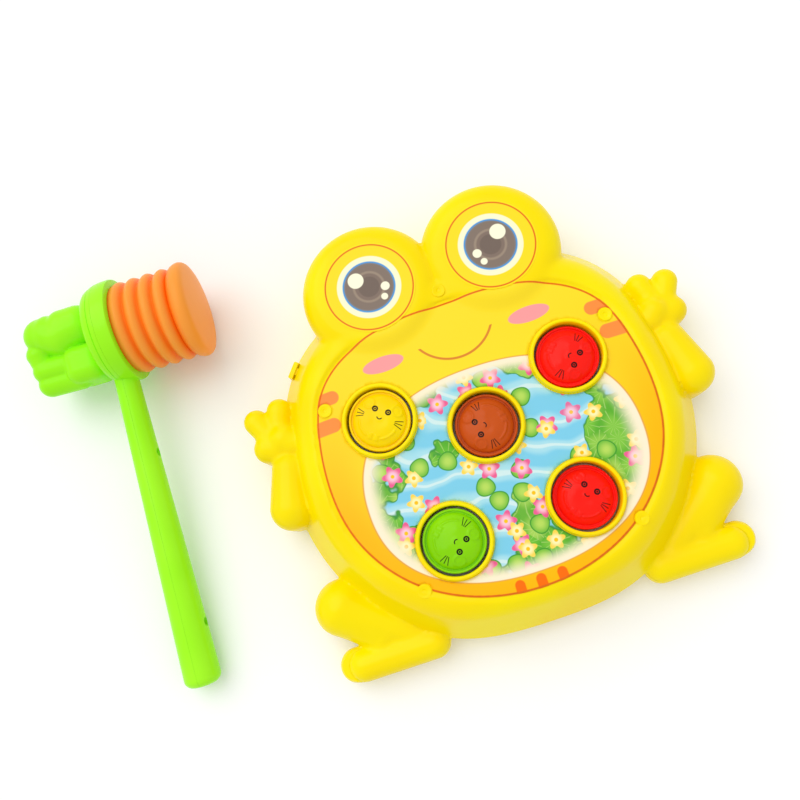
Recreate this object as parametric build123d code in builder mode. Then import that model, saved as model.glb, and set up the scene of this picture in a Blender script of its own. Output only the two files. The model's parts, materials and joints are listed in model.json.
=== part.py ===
from build123d import *
from math import asin, cos, degrees, pi, radians, sin, sqrt
import os

os.makedirs("parts", exist_ok=True)

# A mole pounding game: a hollow frog that lies flat on the table, with five round moles that a
# turning cam disc lifts out of collars in its belly, and the squeaking hammer that lies beside it.
# The origin is on the table under the middle mole, the eyes are towards +Y and up is +Z.

# Sizes that the whole frog shares
wall = 2.2
foot_height = 2.0
parting_height = 16.0
label_height = 44.0
label_recess = 1.4
cut = 1.0
fit = 0.05
seat_gap = 0.3

# The body's outline at the parting line: each point is a share of the half width and of the reach
# towards the player. Above that line the flank leans in, by so much at the rim
body_half_width = 108.4
body_reach = 102.3
body_flank_lean = 15.0
body_edge_radius = 10.0
base_edge_radius = 5.0
switch_place_share = (0.822, 0.655)
body_outline_shares = (
    (0, -1),
    (0.47, -0.93),
    (0.742, -0.725),
    (0.905, -0.475),
    (1, -0.12),
    (0.98, 0.22),
    (0.9, 0.522),
    switch_place_share,
    (0.71, 0.77),
    (0.42, 0.91),
    (0, 0.96),
)

# The printed film on the belly: shares of its own half width and reach
label_half_width = 85.8
label_reach = 84.0
label_film = 0.3
label_gap = 0.4
label_outline_shares = (
    (0, -1),
    (0.43, -0.917),
    (0.67, -0.776),
    (0.885, -0.52),
    (0.96, -0.346),
    (1, -0.11),
    (0.974, 0.255),
    (0.89, 0.504),
    (0.762, 0.643),
    (0.6, 0.732),
    (0, 0.81),
)

# Eyes
eye_offset = 33.5
eye_forward = 88.5
eye_radius = 37.5
eye_height = 47.0
eye_edge_radius = 12.0
eye_film_radius = 24.4

# Hands and legs: each limb is a tapered rod with round ends, given by its two radii and its two
# ends, which are shares of the body's half width and reach, so that they stay on the body's edge.
# The hands lie up on the flank, with upright sides under them, and the legs lie low
hand_height = 26.0
finger_radius = 6.8
inner_finger_share = (0.938, 0.451)
outer_finger_share = (1.063, 0.433)
finger_root_share = (1.0, 0.303)
palm_radius = 8.0
outer_palm_share = (1.04, 0.276)
inner_palm_share = (0.952, 0.293)
wrist_radius = 9.0
wrist_share = (0.972, 0.139)
elbow_radius = 10.8
elbow_share = (1.019, -0.058)
leg_height = 13.0
hip_radius = 14.6
hip_share = (0.934, -0.616)
shin_radius = 6.5
shin_share = (0.609, -0.875)
calf_radius = 8.5
calf_share = (0.803, -0.811)
heel_radius = 8.5
heel_share = (0.566, -0.921)
toe_radius = 8.7
toe_share = (0.914, -0.919)
sole_radius = 9.0
sole_toe_share = (0.953, -0.911)
sole_height = 10.5

# Moles: four on one circle about the cam's axis, and one just off that axis
cam_forward = -4.7
mole_ring_radius = 55.9
upper_mole_angle = 25.9
lower_mole_angle = 52.8
mole_lift = 8.0
collar_bore = 17.1
collar_thickness = 2.1
collar_height = 47.6
collar_edge = 0.9
cap_radius = 15.8
cap_wall = 1.5
cap_skirt = 6.5
cap_groove_width = 0.9
cap_groove_depth = 1.1
cap_rim_width = 1.2
cap_dome_rise = 3.6
cap_boss_radius = 6.0
stem_radius = 4.0
stem_neck_radius = 2.5
mole_foot_radius = 7.2
mole_foot_height = 2.0
mole_foot_level = 14.0
rim_heights = {
    "upper_left": 45.6,
    "centre": 43.6,
    "upper_right": 43.8,
    "lower_left": 45.2,
    "lower_right": 41.8,
}

# Guide plate that the moles' stems run in
guide_level = 32.0
guide_thickness = 2.0
guide_radius = 75.0
guide_hub_radius = 6.6
guide_hub_rise = 3.0
spring_wire_radius = 0.4
spring_turns = 6
spring_radius = 5.8

# Screws and their posts
post_radius = 3.9
pad_radius = 3.5
pad_rise = 0.7
pad_dimple_radius = 1.0
pilot_radius = 1.3
screw_clear_radius = 1.7
screw_head_radius = 2.9
screw_head_height = 2.0
screw_seat_height = 9.0
screw_bite = 11.0
small_pilot_radius = 1.0
small_head_radius = 2.3
small_head_height = 1.4
small_screw_bite = 5.0
crown_post_forward = 74.6
side_post = (75.5, 33.9)
lower_post = (55.5, -67.6)
guide_post_angles = (90, 270, -13.5, 193.5)
guide_post_ring = 66.0

# Gears: straight teeth with play between them
tooth_module = 1.0
tooth_addendum = 0.85
tooth_dedendum = 1.2
tooth_root_share = 0.5
tooth_tip_share = 0.24
mesh_gap = 0.2
cam_teeth = 126
pinion_teeth = 12
wheel_teeth = 30
motor_teeth = 10
gear_thickness = 2.0
gear_step = 1.0
cam_level = 6.5
cam_thickness = 2.5
cam_rim_width = 15.0
cam_spoke_width = 9.0
cam_spokes = 3
cam_hub_radius = 12.0
cam_boss_radius = 5.8
cam_track_width = 9.0
cam_ramps = 3
cam_ramp_angle = 70
cam_crest_angle = 30
cam_axle_radius = 2.0
gear_pin_radius = 1.4
gear_hub_radius = 3.0
second_gear_angle = -60
first_gear_angle = -75
bridge_thickness = 2.0
bridge_margin = 4.5
bridge_posts = ((94.0, -4.0), (62.0, -49.0))

# Motor
motor_radius = 12.2
motor_height = 12.3
motor_shaft_radius = 1.0

# Battery bay with two round cells side by side
cell_radius = 7.1
cell_length = 50.5
cell_button_radius = 2.7
cell_button_height = 1.2
bay_wall = 1.5
bay_centre = (-81.6, -12.0)
bay_end_room = 3.0
door_margin = 1.6
door_thickness = 1.6
contact_thickness = 0.4
contact_width = 9.0

# Sound: board, loudspeaker and switch
board_length = 42.0
board_width = 26.0
board_thickness = 1.6
board_centre = (-38.0, 86.0)
board_level = 19.0
board_post_radius = 2.8
board_post_inset = 4.0
chip_radius = 5.5
chip_height = 1.6
capacitor_radius = 3.0
capacitor_height = 7.0
speaker_radius = 14.5
speaker_height = 6.0
speaker_magnet_radius = 8.0
speaker_magnet_height = 4.0
speaker_flange = 1.5
grille_hole_radius = 1.2
grille_rings = ((6, 4.5), (12, 9.0))
switch_level = 21.0
switch_knob_length = 9.6
switch_knob_width = 5.6
switch_knob_proud = 2.6
switch_stem_length = 4.0
switch_stem_width = 2.6
switch_travel = 4.0
switch_body_length = 15.0
switch_body_width = 7.0
switch_body_depth = 5.0

# Table pads
pad_foot_radius = 6.0
pad_foot_places = ((62.0, 61.0), (97.0, -67.0))

# Hammer, in its own frame: the head's axis along X, the handle towards -Y
ring_radius = 29.0
ring_width = 16.0
ring_band_step = 0.8
ring_band_share = 0.35
hammer_wall = 1.8
handle_neck_radius = 6.6
handle_end_radius = 10.0
handle_reach = 198.0
handle_end_round = 5.0
hammer_screw_shares = (0.36, 0.84)
hammer_boss_radius = 3.4
hammer_recess_radius = 2.4
hammer_recess_depth = 2.2
bellows_radius = 25.2
bellows_rib_depth = 3.0
bellows_ribs = 4
bellows_rib_pitch = 8.2
bellows_wall = 1.4
bellows_flange = 1.6
bellows_flange_rise = 1.2
bellows_face_radius = 26.0
bellows_face_depth = 9.0
bellows_face_dome = 1.6
bellows_squeeze = 14.0
squeaker_radius = 5.5
squeaker_length = 9.0
fist_length = 45.0
fist_width = 47.0
fist_depth = 36.0
fist_edge = 7.0
fist_finger_radius = 7.2
fist_fingers = 3
thumb_radius = 10.5
fist_seam_drop = 6.0
hammer_place = (-176.8, 119.0)
hammer_turn = -2.5

# Places that follow from the sizes above
rim_height = label_height + label_recess
inner_top = label_height - wall
guide_top = guide_level + guide_thickness
hub_top = guide_top + guide_hub_rise
floor_level = foot_height + wall
crest_level = mole_foot_level - seat_gap
cam_top = cam_level + cam_thickness
cam_pitch_radius = cam_teeth * tooth_module / 2
pinion_pitch_radius = pinion_teeth * tooth_module / 2
wheel_pitch_radius = wheel_teeth * tooth_module / 2
motor_pitch_radius = motor_teeth * tooth_module / 2
collar_radius = collar_bore + collar_thickness


def polar(radius, angle, centre=(0, 0)):
    return (centre[0] + radius * cos(radians(angle)), centre[1] + radius * sin(radians(angle)))


cam_centre = (0, cam_forward)
mole_places = {
    "upper_left": polar(mole_ring_radius, 180 - upper_mole_angle, cam_centre),
    "centre": (0, 0),
    "upper_right": polar(mole_ring_radius, upper_mole_angle, cam_centre),
    "lower_left": polar(mole_ring_radius, 180 + lower_mole_angle, cam_centre),
    "lower_right": polar(mole_ring_radius, -lower_mole_angle, cam_centre),
}
second_gear_place = (cam_pitch_radius + pinion_pitch_radius + mesh_gap, cam_forward)
gear_spread = wheel_pitch_radius + pinion_pitch_radius + mesh_gap
first_gear_place = polar(gear_spread, second_gear_angle, second_gear_place)
motor_spread = wheel_pitch_radius + motor_pitch_radius + mesh_gap
motor_place = polar(motor_spread, first_gear_angle, first_gear_place)
shell_posts = (
    (0, crown_post_forward),
    side_post,
    (-side_post[0], side_post[1]),
    lower_post,
    (-lower_post[0], lower_post[1]),
)
guide_posts = [polar(guide_post_ring, angle, cam_centre) for angle in guide_post_angles]


def outline_sketch(shares, half_width, reach):
    """A closed outline: a smooth curve up the right side, level at both ends, and its mirror image."""
    with BuildSketch() as flat:
        with BuildLine():
            points = [(x * half_width, y * reach) for x, y in shares]
            Spline(*points, tangents=((1, 0), (-1, 0)), tangent_scalars=(1, 1))
            mirror(about=Plane.YZ)
        make_face()
    return flat.sketch


def flank_lean(height):
    """How far the body's flank has leaned in at a height above the parting line."""
    return body_flank_lean * (height - parting_height) / (rim_height - parting_height)


def body_form(inset, bottom, top):
    """The belly: upright below the parting line and leaning in above it, with round edges."""
    with BuildPart() as form:
        with BuildSketch(Plane.XY.offset(bottom)):
            add(outline_sketch(body_outline_shares, body_half_width - inset, body_reach - inset))
        extrude(amount=parting_height - bottom)
        with BuildSketch(Plane.XY.offset(parting_height)):
            add(outline_sketch(body_outline_shares, body_half_width - inset, body_reach - inset))
        with BuildSketch(Plane.XY.offset(top)):
            leaned = inset + flank_lean(top)
            add(outline_sketch(body_outline_shares, body_half_width - leaned, body_reach - leaned))
        loft(ruled=True)
        fillet(form.edges().group_by(Axis.Z)[-1], radius=body_edge_radius - inset)
        fillet(form.edges().group_by(Axis.Z)[0], radius=base_edge_radius - inset)
    return form.part


def eye_form(inset, bottom, top):
    with BuildPart() as form:
        with BuildSketch(Plane.XY.offset(bottom)):
            with Locations((eye_offset, eye_forward)):
                Circle(eye_radius - inset)
        extrude(amount=top - bottom)
        fillet(form.edges().group_by(Axis.Z)[-1], radius=eye_edge_radius - inset)
        fillet(form.edges().group_by(Axis.Z)[0], radius=base_edge_radius - inset)
        mirror(about=Plane.YZ)
    return form.part


def limb(start, start_radius, end, end_radius):
    """A tapered rod with round ends, turned about the line from start to end."""
    run = Vector(*end) - Vector(*start)
    lean = asin((start_radius - end_radius) / run.length)
    square = Vector(0, 0, 1) if abs(run.Z) < run.length / 2 else Vector(1, 0, 0)
    with BuildPart() as form:
        with BuildSketch(Plane(origin=Vector(*start), x_dir=run, z_dir=run.cross(square))):
            with BuildLine():
                back = (-start_radius, 0)
                near = (start_radius * sin(lean), start_radius * cos(lean))
                far = (run.length + end_radius * sin(lean), end_radius * cos(lean))
                tip = (run.length + end_radius, 0)
                turn = (pi / 2 + lean) / 2
                around = (-start_radius * cos(turn), start_radius * sin(turn))
                over = (run.length + end_radius * cos(pi / 4 - lean / 2), end_radius * sin(pi / 4 - lean / 2))
                ThreePointArc(back, around, near)
                Line(near, far)
                ThreePointArc(far, over, tip)
                Line(tip, back)
            make_face()
        revolve(axis=Axis(start, run))
    return form.part


def limb_point(share, height):
    return (share[0] * body_half_width, share[1] * body_reach, height)


def upright_limb(start, start_radius, end, end_radius, bottom):
    """A limb with upright sides from its own height down to a bottom level, and a round underside."""
    with BuildPart() as form:
        with BuildSketch(Plane.XY.offset(bottom)):
            for place, radius in ((start, start_radius), (end, end_radius)):
                with Locations((place[0], place[1])):
                    Circle(radius - fit)
            make_hull()
        extrude(amount=start[2] - bottom)
        add(limb(start, start_radius, end, end_radius))
        add(limb((start[0], start[1], bottom), start_radius, (end[0], end[1], bottom), end_radius))
    return form.part


def limbs_form(inset):
    """The right hand, thigh and foot, and their mirror images."""
    hand_rods = (
        (inner_finger_share, finger_radius, finger_root_share, finger_radius),
        (outer_finger_share, finger_radius, finger_root_share, finger_radius),
        (outer_palm_share, palm_radius, inner_palm_share, palm_radius),
        (elbow_share, elbow_radius, wrist_share, wrist_radius),
    )
    leg_rods = (
        (hip_share, hip_radius, shin_share, shin_radius),
        (hip_share, hip_radius, calf_share, calf_radius),
        (toe_share, toe_radius, heel_share, heel_radius),
    )
    with BuildPart() as form:
        for start, start_radius, end, end_radius in hand_rods:
            add(upright_limb(limb_point(start, hand_height), start_radius - inset,
                             limb_point(end, hand_height), end_radius - inset, leg_height))
        for start, start_radius, end, end_radius in leg_rods:
            add(limb(limb_point(start, leg_height), start_radius - inset,
                     limb_point(end, leg_height), end_radius - inset))
        mirror(about=Plane.YZ)
    return form.part


def sole_form(inset):
    """The lower half of each foot, which stands on the table and shows beyond the toes."""
    with BuildPart() as form:
        add(limb(limb_point(sole_toe_share, sole_height), sole_radius - inset,
                 limb_point(heel_share, sole_height), heel_radius - inset))
        mirror(about=Plane.YZ)
    return form.part


def label_sketch(shrink):
    return outline_sketch(label_outline_shares, label_half_width - shrink, label_reach - shrink)


# The switch knob's slot lies square to the outline at the switch
switch_index = body_outline_shares.index(switch_place_share)
below = body_outline_shares[switch_index - 1]
above = body_outline_shares[switch_index + 1]
along = Vector((below[0] - above[0]) * body_half_width, (above[1] - below[1]) * body_reach, 0)
switch_lean = flank_lean(switch_level)
switch_plane = Plane(
    origin=(-switch_place_share[0] * (body_half_width - switch_lean),
            switch_place_share[1] * (body_reach - switch_lean), switch_level),
    x_dir=-along,
    z_dir=Vector(-along.Y, along.X, 0),
)
slot_length = switch_stem_length + switch_travel + 2 * seat_gap
slot_width = switch_stem_width + 2 * seat_gap
switch_back = wall + 4 * seat_gap + flank_lean(parting_height + switch_body_width / 2)


def switch_box(length, width, inner, outer, shift=0):
    """A block across the switch's line of travel, from inner to outer along the outward normal."""
    with BuildPart() as form:
        with BuildSketch(switch_plane.offset(inner)):
            with Locations((shift, 0)):
                Rectangle(length, width)
        extrude(amount=outer - inner)
    return form.part


outer_body = body_form(0, foot_height, rim_height)
inner_body = body_form(wall, floor_level, inner_top)
outer_eyes = eye_form(0, foot_height, eye_height)
inner_eyes = eye_form(wall, floor_level, eye_height - wall)
outer_limbs = limbs_form(0)
inner_limbs = limbs_form(wall)

# Top shell of the frog, moulded in yellow plastic
with BuildPart() as top_shell:
    add(outer_body)
    with BuildSketch(Plane.XY.offset(label_height)):
        add(label_sketch(0))
    extrude(amount=label_recess + cut, mode=Mode.SUBTRACT)
    add(outer_eyes)
    add(outer_limbs)
    for hollow in (inner_body, inner_eyes, inner_limbs):
        add(hollow, mode=Mode.SUBTRACT)
    split(bisect_by=Plane.XY.offset(parting_height), keep=Keep.TOP)
    with BuildSketch(Plane.XY.offset(guide_top)):
        with Locations(*mole_places.values()):
            Circle(collar_radius)
    extrude(amount=collar_height - guide_top)
    fillet(top_shell.edges().filter_by(GeomType.CIRCLE).group_by(Axis.Z)[-1].filter_by(
        lambda edge: abs(edge.radius - collar_radius) < fit), radius=collar_edge)
    with BuildSketch(Plane.XY.offset(guide_top - cut)):
        with Locations(*mole_places.values()):
            Circle(collar_bore)
    extrude(amount=collar_height - guide_top + 2 * cut, mode=Mode.SUBTRACT)
    with BuildSketch(Plane.XY.offset(parting_height)):
        with Locations(*shell_posts):
            Circle(post_radius)
    extrude(amount=inner_top - parting_height + wall / 2)
    with BuildSketch(Plane.XY.offset(inner_top)):
        with Locations(*shell_posts):
            Circle(pad_radius)
    extrude(amount=label_height + pad_rise - inner_top)
    with BuildSketch(Plane.XY.offset(label_height + pad_rise)):
        with Locations(*shell_posts):
            Circle(pad_dimple_radius)
    extrude(amount=-pad_rise / 2, mode=Mode.SUBTRACT)
    with BuildSketch(Plane.XY.offset(guide_top)):
        with Locations(*guide_posts):
            Circle(post_radius - pilot_radius / 2)
    extrude(amount=inner_top - guide_top + wall / 2)
    with BuildSketch(Plane.XY.offset(parting_height)):
        with Locations(*shell_posts):
            Circle(pilot_radius)
    extrude(amount=screw_bite, mode=Mode.SUBTRACT)
    with BuildSketch(Plane.XY.offset(guide_top)):
        with Locations(*guide_posts):
            Circle(small_pilot_radius)
    extrude(amount=small_screw_bite, mode=Mode.SUBTRACT)
    add(switch_box(slot_length, slot_width, -switch_back, wall, switch_travel / 2), mode=Mode.SUBTRACT)
    add(switch_box(switch_knob_length + switch_travel + 2 * seat_gap, switch_knob_width + 2 * seat_gap,
                   0, 2 * wall, switch_travel / 2), mode=Mode.SUBTRACT)

top_shell.part.label = "top_shell"
export_step(top_shell.part, "parts/top_shell.step")

# Levels of the gear train and the supports that carry it
second_wheel_level = crest_level + gear_step
first_wheel_level = second_wheel_level + gear_thickness + gear_step
bridge_level = first_wheel_level + gear_thickness + gear_step
bridge_top = bridge_level + bridge_thickness
motor_level = floor_level
motor_top = motor_level + motor_height
bay_width = 4 * cell_radius + 2 * seat_gap
bay_length = cell_length + 2 * bay_end_room
bay_roof = floor_level + 2 * cell_radius + seat_gap
door_screw_place = (bay_centre[0], bay_centre[1] + bay_length / 2 + door_margin + small_head_radius)
board_posts = [
    (board_centre[0] + side * (board_length / 2 - board_post_inset), board_centre[1]) for side in (-1, 1)
]
speaker_place = (eye_offset, eye_forward)
pad_places = [mole_places["centre"]] + [(side * x, y) for x, y in pad_foot_places for side in (-1, 1)]


def trimmed(form, height):
    """The part of a form that lies above a level."""
    with BuildPart() as kept:
        add(form)
        split(bisect_by=Plane.XY.offset(height), keep=Keep.TOP)
    return kept.part


def column(places, radius, bottom, top):
    with BuildPart() as form:
        with BuildSketch(Plane.XY.offset(bottom)):
            with Locations(*places):
                Circle(radius)
        extrude(amount=top - bottom)
    return form.part


def block(centre, length, width, bottom, top):
    """A block with its length along X and its width along Y."""
    with BuildPart() as form:
        with BuildSketch(Plane.XY.offset(bottom)):
            with Locations(centre):
                Rectangle(length, width)
        extrude(amount=top - bottom)
    return form.part


# Bottom shell, with the battery bay, the screw posts and the bosses of the gear train
inner_soles = sole_form(wall)
with BuildPart() as bottom_shell:
    add(outer_body)
    add(outer_eyes)
    add(outer_limbs)
    add(sole_form(0))
    for hollow in (inner_body, inner_eyes, inner_limbs, inner_soles):
        add(trimmed(hollow, floor_level), mode=Mode.SUBTRACT)
    split(bisect_by=Plane.XY.offset(parting_height), keep=Keep.BOTTOM)
    split(bisect_by=Plane.XY.offset(foot_height), keep=Keep.TOP)
    add(column(shell_posts, post_radius + screw_clear_radius / 2, foot_height, parting_height))
    add(block(bay_centre, bay_width + 2 * bay_wall, bay_length + 2 * bay_wall, foot_height, bay_roof + bay_wall))
    add(column([door_screw_place], post_radius, foot_height, parting_height - wall))
    add(column([cam_centre], post_radius + wall / 2, foot_height, cam_level - seat_gap))
    add(column([second_gear_place], post_radius, foot_height, cam_level - seat_gap))
    add(column([first_gear_place], post_radius, foot_height, second_wheel_level - seat_gap))
    add(column([motor_place], motor_radius + wall, foot_height, motor_level + motor_height / 2))
    add(column(bridge_posts, post_radius, foot_height, bridge_level))
    add(column(board_posts, board_post_radius, foot_height, board_level))
    add(column([speaker_place], speaker_radius + wall, foot_height, floor_level + speaker_flange))
    for hollow in (
        column(shell_posts, screw_clear_radius, foot_height - cut, parting_height + cut),
        column(shell_posts, screw_head_radius + seat_gap, foot_height - cut, screw_seat_height),
        block(bay_centre, bay_width, bay_length, foot_height - cut, bay_roof),
        block(bay_centre, bay_width + 2 * door_margin, bay_length + 2 * door_margin,
              foot_height - cut, foot_height + door_thickness),
        column([door_screw_place], small_head_radius + 2 * door_margin,
               foot_height - cut, foot_height + door_thickness),
        column([door_screw_place], small_pilot_radius, foot_height, foot_height + small_screw_bite + wall),
        column([cam_centre], cam_axle_radius + fit, foot_height + wall / 2, cam_level),
        column([second_gear_place, first_gear_place], gear_pin_radius + fit,
               foot_height + wall / 2, second_wheel_level),
        column([motor_place], motor_radius + fit, motor_level, motor_level + motor_height),
        column(bridge_posts, small_pilot_radius, bridge_level - small_screw_bite - cut, bridge_level + cut),
        column(board_posts, small_pilot_radius, board_level - small_screw_bite - cut, board_level + cut),
        column([speaker_place], speaker_radius + fit, floor_level, floor_level + speaker_flange + cut),
    ):
        add(hollow, mode=Mode.SUBTRACT)
    with BuildSketch(Plane.XY.offset(foot_height - cut)):
        with Locations(speaker_place):
            Circle(grille_hole_radius)
            for count, ring in grille_rings:
                with PolarLocations(ring, count):
                    Circle(grille_hole_radius)
    extrude(amount=wall + 2 * cut, mode=Mode.SUBTRACT)

bottom_shell.part.label = "bottom_shell"
export_step(bottom_shell.part, "parts/bottom_shell.step")

# Battery door, set flush into the base and held by one screw
door_clearance = door_margin - seat_gap
with BuildPart() as battery_door:
    add(block(bay_centre, bay_width + 2 * door_clearance, bay_length + 2 * door_clearance,
              foot_height, foot_height + door_thickness))
    add(column([door_screw_place], small_head_radius + 2 * door_margin - seat_gap,
               foot_height, foot_height + door_thickness))
    add(column([door_screw_place], small_pilot_radius + fit, foot_height - cut,
               foot_height + door_thickness + cut), mode=Mode.SUBTRACT)
    add(column([door_screw_place], small_head_radius + fit, foot_height - cut,
               foot_height + small_head_height / 2), mode=Mode.SUBTRACT)

battery_door.part.label = "battery_door"
export_step(battery_door.part, "parts/battery_door.step")


def screw(places, seat, head_radius, head_height, shank_radius, length):
    """Round-headed screws that point up: the head's upper face at the seat, a cross cut in its underside."""
    with BuildPart() as form:
        add(column(places, head_radius, seat - head_height, seat))
        fillet(form.edges().group_by(Axis.Z)[0], radius=head_height / 3)
        add(column(places, shank_radius, seat, seat + length))
        chamfer(form.edges().group_by(Axis.Z)[-1], length=shank_radius / 2)
        with BuildSketch(Plane.XY.offset(seat - head_height)):
            with Locations(*places):
                Rectangle(head_radius, head_radius / 4)
                Rectangle(head_radius / 4, head_radius)
        extrude(amount=head_height / 2, mode=Mode.SUBTRACT)
    return form.part


with BuildPart() as shell_screws:
    add(screw(shell_posts, screw_seat_height, screw_head_radius, screw_head_height,
              pilot_radius - fit, parting_height - screw_seat_height + screw_bite - cut))

shell_screws.part.label = "shell_screws"
export_step(shell_screws.part, "parts/shell_screws.step")

with BuildPart() as battery_door_screw:
    add(screw([door_screw_place], foot_height + small_head_height / 2, small_head_radius, small_head_height,
              small_pilot_radius - fit, small_screw_bite))

battery_door_screw.part.label = "battery_door_screw"
export_step(battery_door_screw.part, "parts/battery_door_screw.step")

# Rubber pads that the frog stands on: four near its edge, and one under the middle mole for the blows
with BuildPart() as rubber_feet:
    add(column(pad_places, pad_foot_radius, 0, foot_height))
    fillet(rubber_feet.edges().group_by(Axis.Z)[0], radius=foot_height / 3)

rubber_feet.part.label = "rubber_feet"
export_step(rubber_feet.part, "parts/rubber_feet.step")

# Two dry cells, turned head to tail, and the sprung plates at their ends
cell_level = floor_level + cell_radius
cell_places = [(bay_centre[0] + side * (cell_radius + seat_gap / 2), side) for side in (-1, 1)]
with BuildPart() as battery_cells:
    for x, side in cell_places:
        button_end = bay_centre[1] + side * cell_length / 2
        body_end = button_end - side * cell_button_height
        with BuildSketch(Plane(origin=(x, body_end, cell_level), x_dir=(1, 0, 0), z_dir=(0, side, 0))):
            Circle(cell_radius)
        extrude(amount=-(cell_length - cell_button_height))
        with BuildSketch(Plane(origin=(x, body_end, cell_level), x_dir=(1, 0, 0), z_dir=(0, side, 0))):
            Circle(cell_button_radius)
        extrude(amount=cell_button_height)

battery_cells.part.label = "battery_cells"
export_step(battery_cells.part, "parts/battery_cells.step")

with BuildPart() as battery_contacts:
    for x, _ in cell_places:
        for end in (-1, 1):
            plate = Plane(origin=(x, bay_centre[1] + end * bay_length / 2, cell_level),
                          x_dir=(1, 0, 0), z_dir=(0, -end, 0))
            with BuildSketch(plate):
                Rectangle(contact_width, contact_width)
            extrude(amount=contact_thickness)
            with BuildSketch(plate):
                Circle(cell_button_radius)
            extrude(amount=bay_end_room)

battery_contacts.part.label = "battery_contacts"
export_step(battery_contacts.part, "parts/battery_contacts.step")

# Printed films on the belly and on the two eyes
eye_flat = eye_radius - eye_edge_radius
eye_cut_radius = eye_flat + sqrt(eye_edge_radius ** 2 - (label_height - eye_height + eye_edge_radius) ** 2)
with BuildPart() as face_label:
    with BuildSketch(Plane.XY.offset(label_height)):
        add(label_sketch(label_gap))
        with Locations((eye_offset, eye_forward), (-eye_offset, eye_forward)):
            Circle(eye_cut_radius + label_gap / 2, mode=Mode.SUBTRACT)
        with Locations(*mole_places.values()):
            Circle(collar_radius + label_gap, mode=Mode.SUBTRACT)
        with Locations(*shell_posts):
            Circle(pad_radius + label_gap, mode=Mode.SUBTRACT)
    extrude(amount=label_film)

face_label.part.label = "face_label"
export_step(face_label.part, "parts/face_label.step")

for side, name in ((-1, "left"), (1, "right")):
    with BuildPart() as eye_label:
        add(column([(side * eye_offset, eye_forward)], eye_film_radius, eye_height, eye_height + label_film))
    eye_label.part.label = f"eye_label_{name}"
    export_step(eye_label.part, f"parts/eye_label_{name}.step")

# Guide plate under the collars: the moles' stems run in its five hubs
with BuildPart() as guide_plate:
    add(column([cam_centre], guide_radius, guide_level, guide_top))
    add(column(mole_places.values(), guide_hub_radius, guide_level, hub_top))
    add(column(mole_places.values(), stem_radius + fit, guide_level - cut, hub_top + cut), mode=Mode.SUBTRACT)
    add(column(guide_posts, small_pilot_radius + fit, guide_level - cut, guide_top + cut), mode=Mode.SUBTRACT)

guide_plate.part.label = "guide_plate"
export_step(guide_plate.part, "parts/guide_plate.step")

with BuildPart() as guide_screws:
    add(screw(guide_posts, guide_level, small_head_radius, small_head_height,
              small_pilot_radius - fit, guide_thickness + small_screw_bite - cut))

guide_screws.part.label = "guide_screws"
export_step(guide_screws.part, "parts/guide_screws.step")


def dome(radius, rise):
    """Points of a shallow arc from the rim of a dome to its top."""
    bend = (radius ** 2 + rise ** 2) / (2 * rise)
    return ((radius, 0), (radius / 2, rise - bend + sqrt(bend ** 2 - (radius / 2) ** 2)), (0, rise))


def raised(points, height):
    return [(x, y + height) for x, y in points]


def turned(lines):
    """A part turned about Z from closed runs of lines and arcs in the XZ plane."""
    with BuildPart() as form:
        with BuildSketch(Plane.XZ):
            with BuildLine():
                for points in lines:
                    if len(points) == 3:
                        ThreePointArc(*points)
                    else:
                        Line(*points)
            make_face()
        revolve(axis=Axis.Z)
    return form.part


def runs(*points):
    return list(zip(points, points[1:]))


dome_radius = cap_radius - cap_rim_width - cap_groove_width
hollow_radius = cap_radius - cap_wall
spring_height = guide_level - mole_foot_level - mole_foot_height
helix_height = spring_height - 2 * spring_wire_radius
helix_pitch = helix_height / spring_turns

# One return spring, wound about the origin with its lower end on Z = 0
with BuildPart() as spring:
    with BuildLine():
        coil = Helix(pitch=helix_pitch, height=helix_height, radius=spring_radius,
                     center=(0, 0, spring_wire_radius))
    with BuildSketch(Plane(origin=coil @ 0, z_dir=coil % 0)):
        Circle(spring_wire_radius)
    sweep(path=coil, is_frenet=True)

for where, rim in rim_heights.items():
    place = mole_places[where]
    groove = rim - cap_groove_depth
    skirt = rim - cap_skirt
    neck_top = rim - cap_wall
    with BuildPart() as mole_cap:
        with Locations(place):
            add(turned(
                [raised(dome(dome_radius, cap_dome_rise), rim)]
                + runs((0, rim + cap_dome_rise), (0, skirt), (cap_radius, skirt),
                       (cap_radius, rim - cap_rim_width / 2), (cap_radius - cap_rim_width / 2, rim),
                       (cap_radius - cap_rim_width, rim), (cap_radius - cap_rim_width, groove),
                       (dome_radius, groove), (dome_radius, rim))
            ))
            add(turned(
                [raised(dome(dome_radius - cap_wall, cap_dome_rise - cap_wall), rim)]
                + runs((0, rim + cap_dome_rise - cap_wall), (0, skirt - cut), (hollow_radius, skirt - cut),
                       (hollow_radius, groove - cap_wall), (dome_radius - cap_wall, groove - cap_wall),
                       (dome_radius - cap_wall, rim))
            ), mode=Mode.SUBTRACT)
        add(column([place], cap_boss_radius, hub_top + fit, rim + cap_dome_rise - cap_wall))
        add(column([place], stem_neck_radius + fit, hub_top - cut, neck_top + fit), mode=Mode.SUBTRACT)
    mole_cap.part.label = f"mole_cap_{where}"
    export_step(mole_cap.part, f"parts/mole_cap_{where}.step")

    with BuildPart() as mole_stem:
        add(column([place], mole_foot_radius, mole_foot_level, mole_foot_level + mole_foot_height))
        fillet(mole_stem.edges().group_by(Axis.Z)[0], radius=mole_foot_height / 2)
        add(column([place], stem_radius, mole_foot_level + mole_foot_height, hub_top + fit))
        add(column([place], stem_neck_radius, hub_top + fit, neck_top))
    mole_stem.part.label = f"mole_stem_{where}"
    export_step(mole_stem.part, f"parts/mole_stem_{where}.step")

    with BuildPart() as mole_spring:
        with Locations((*place, mole_foot_level + mole_foot_height)):
            add(spring.part)
    mole_spring.part.label = f"mole_spring_{where}"
    export_step(mole_spring.part, f"parts/mole_spring_{where}.step")


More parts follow.
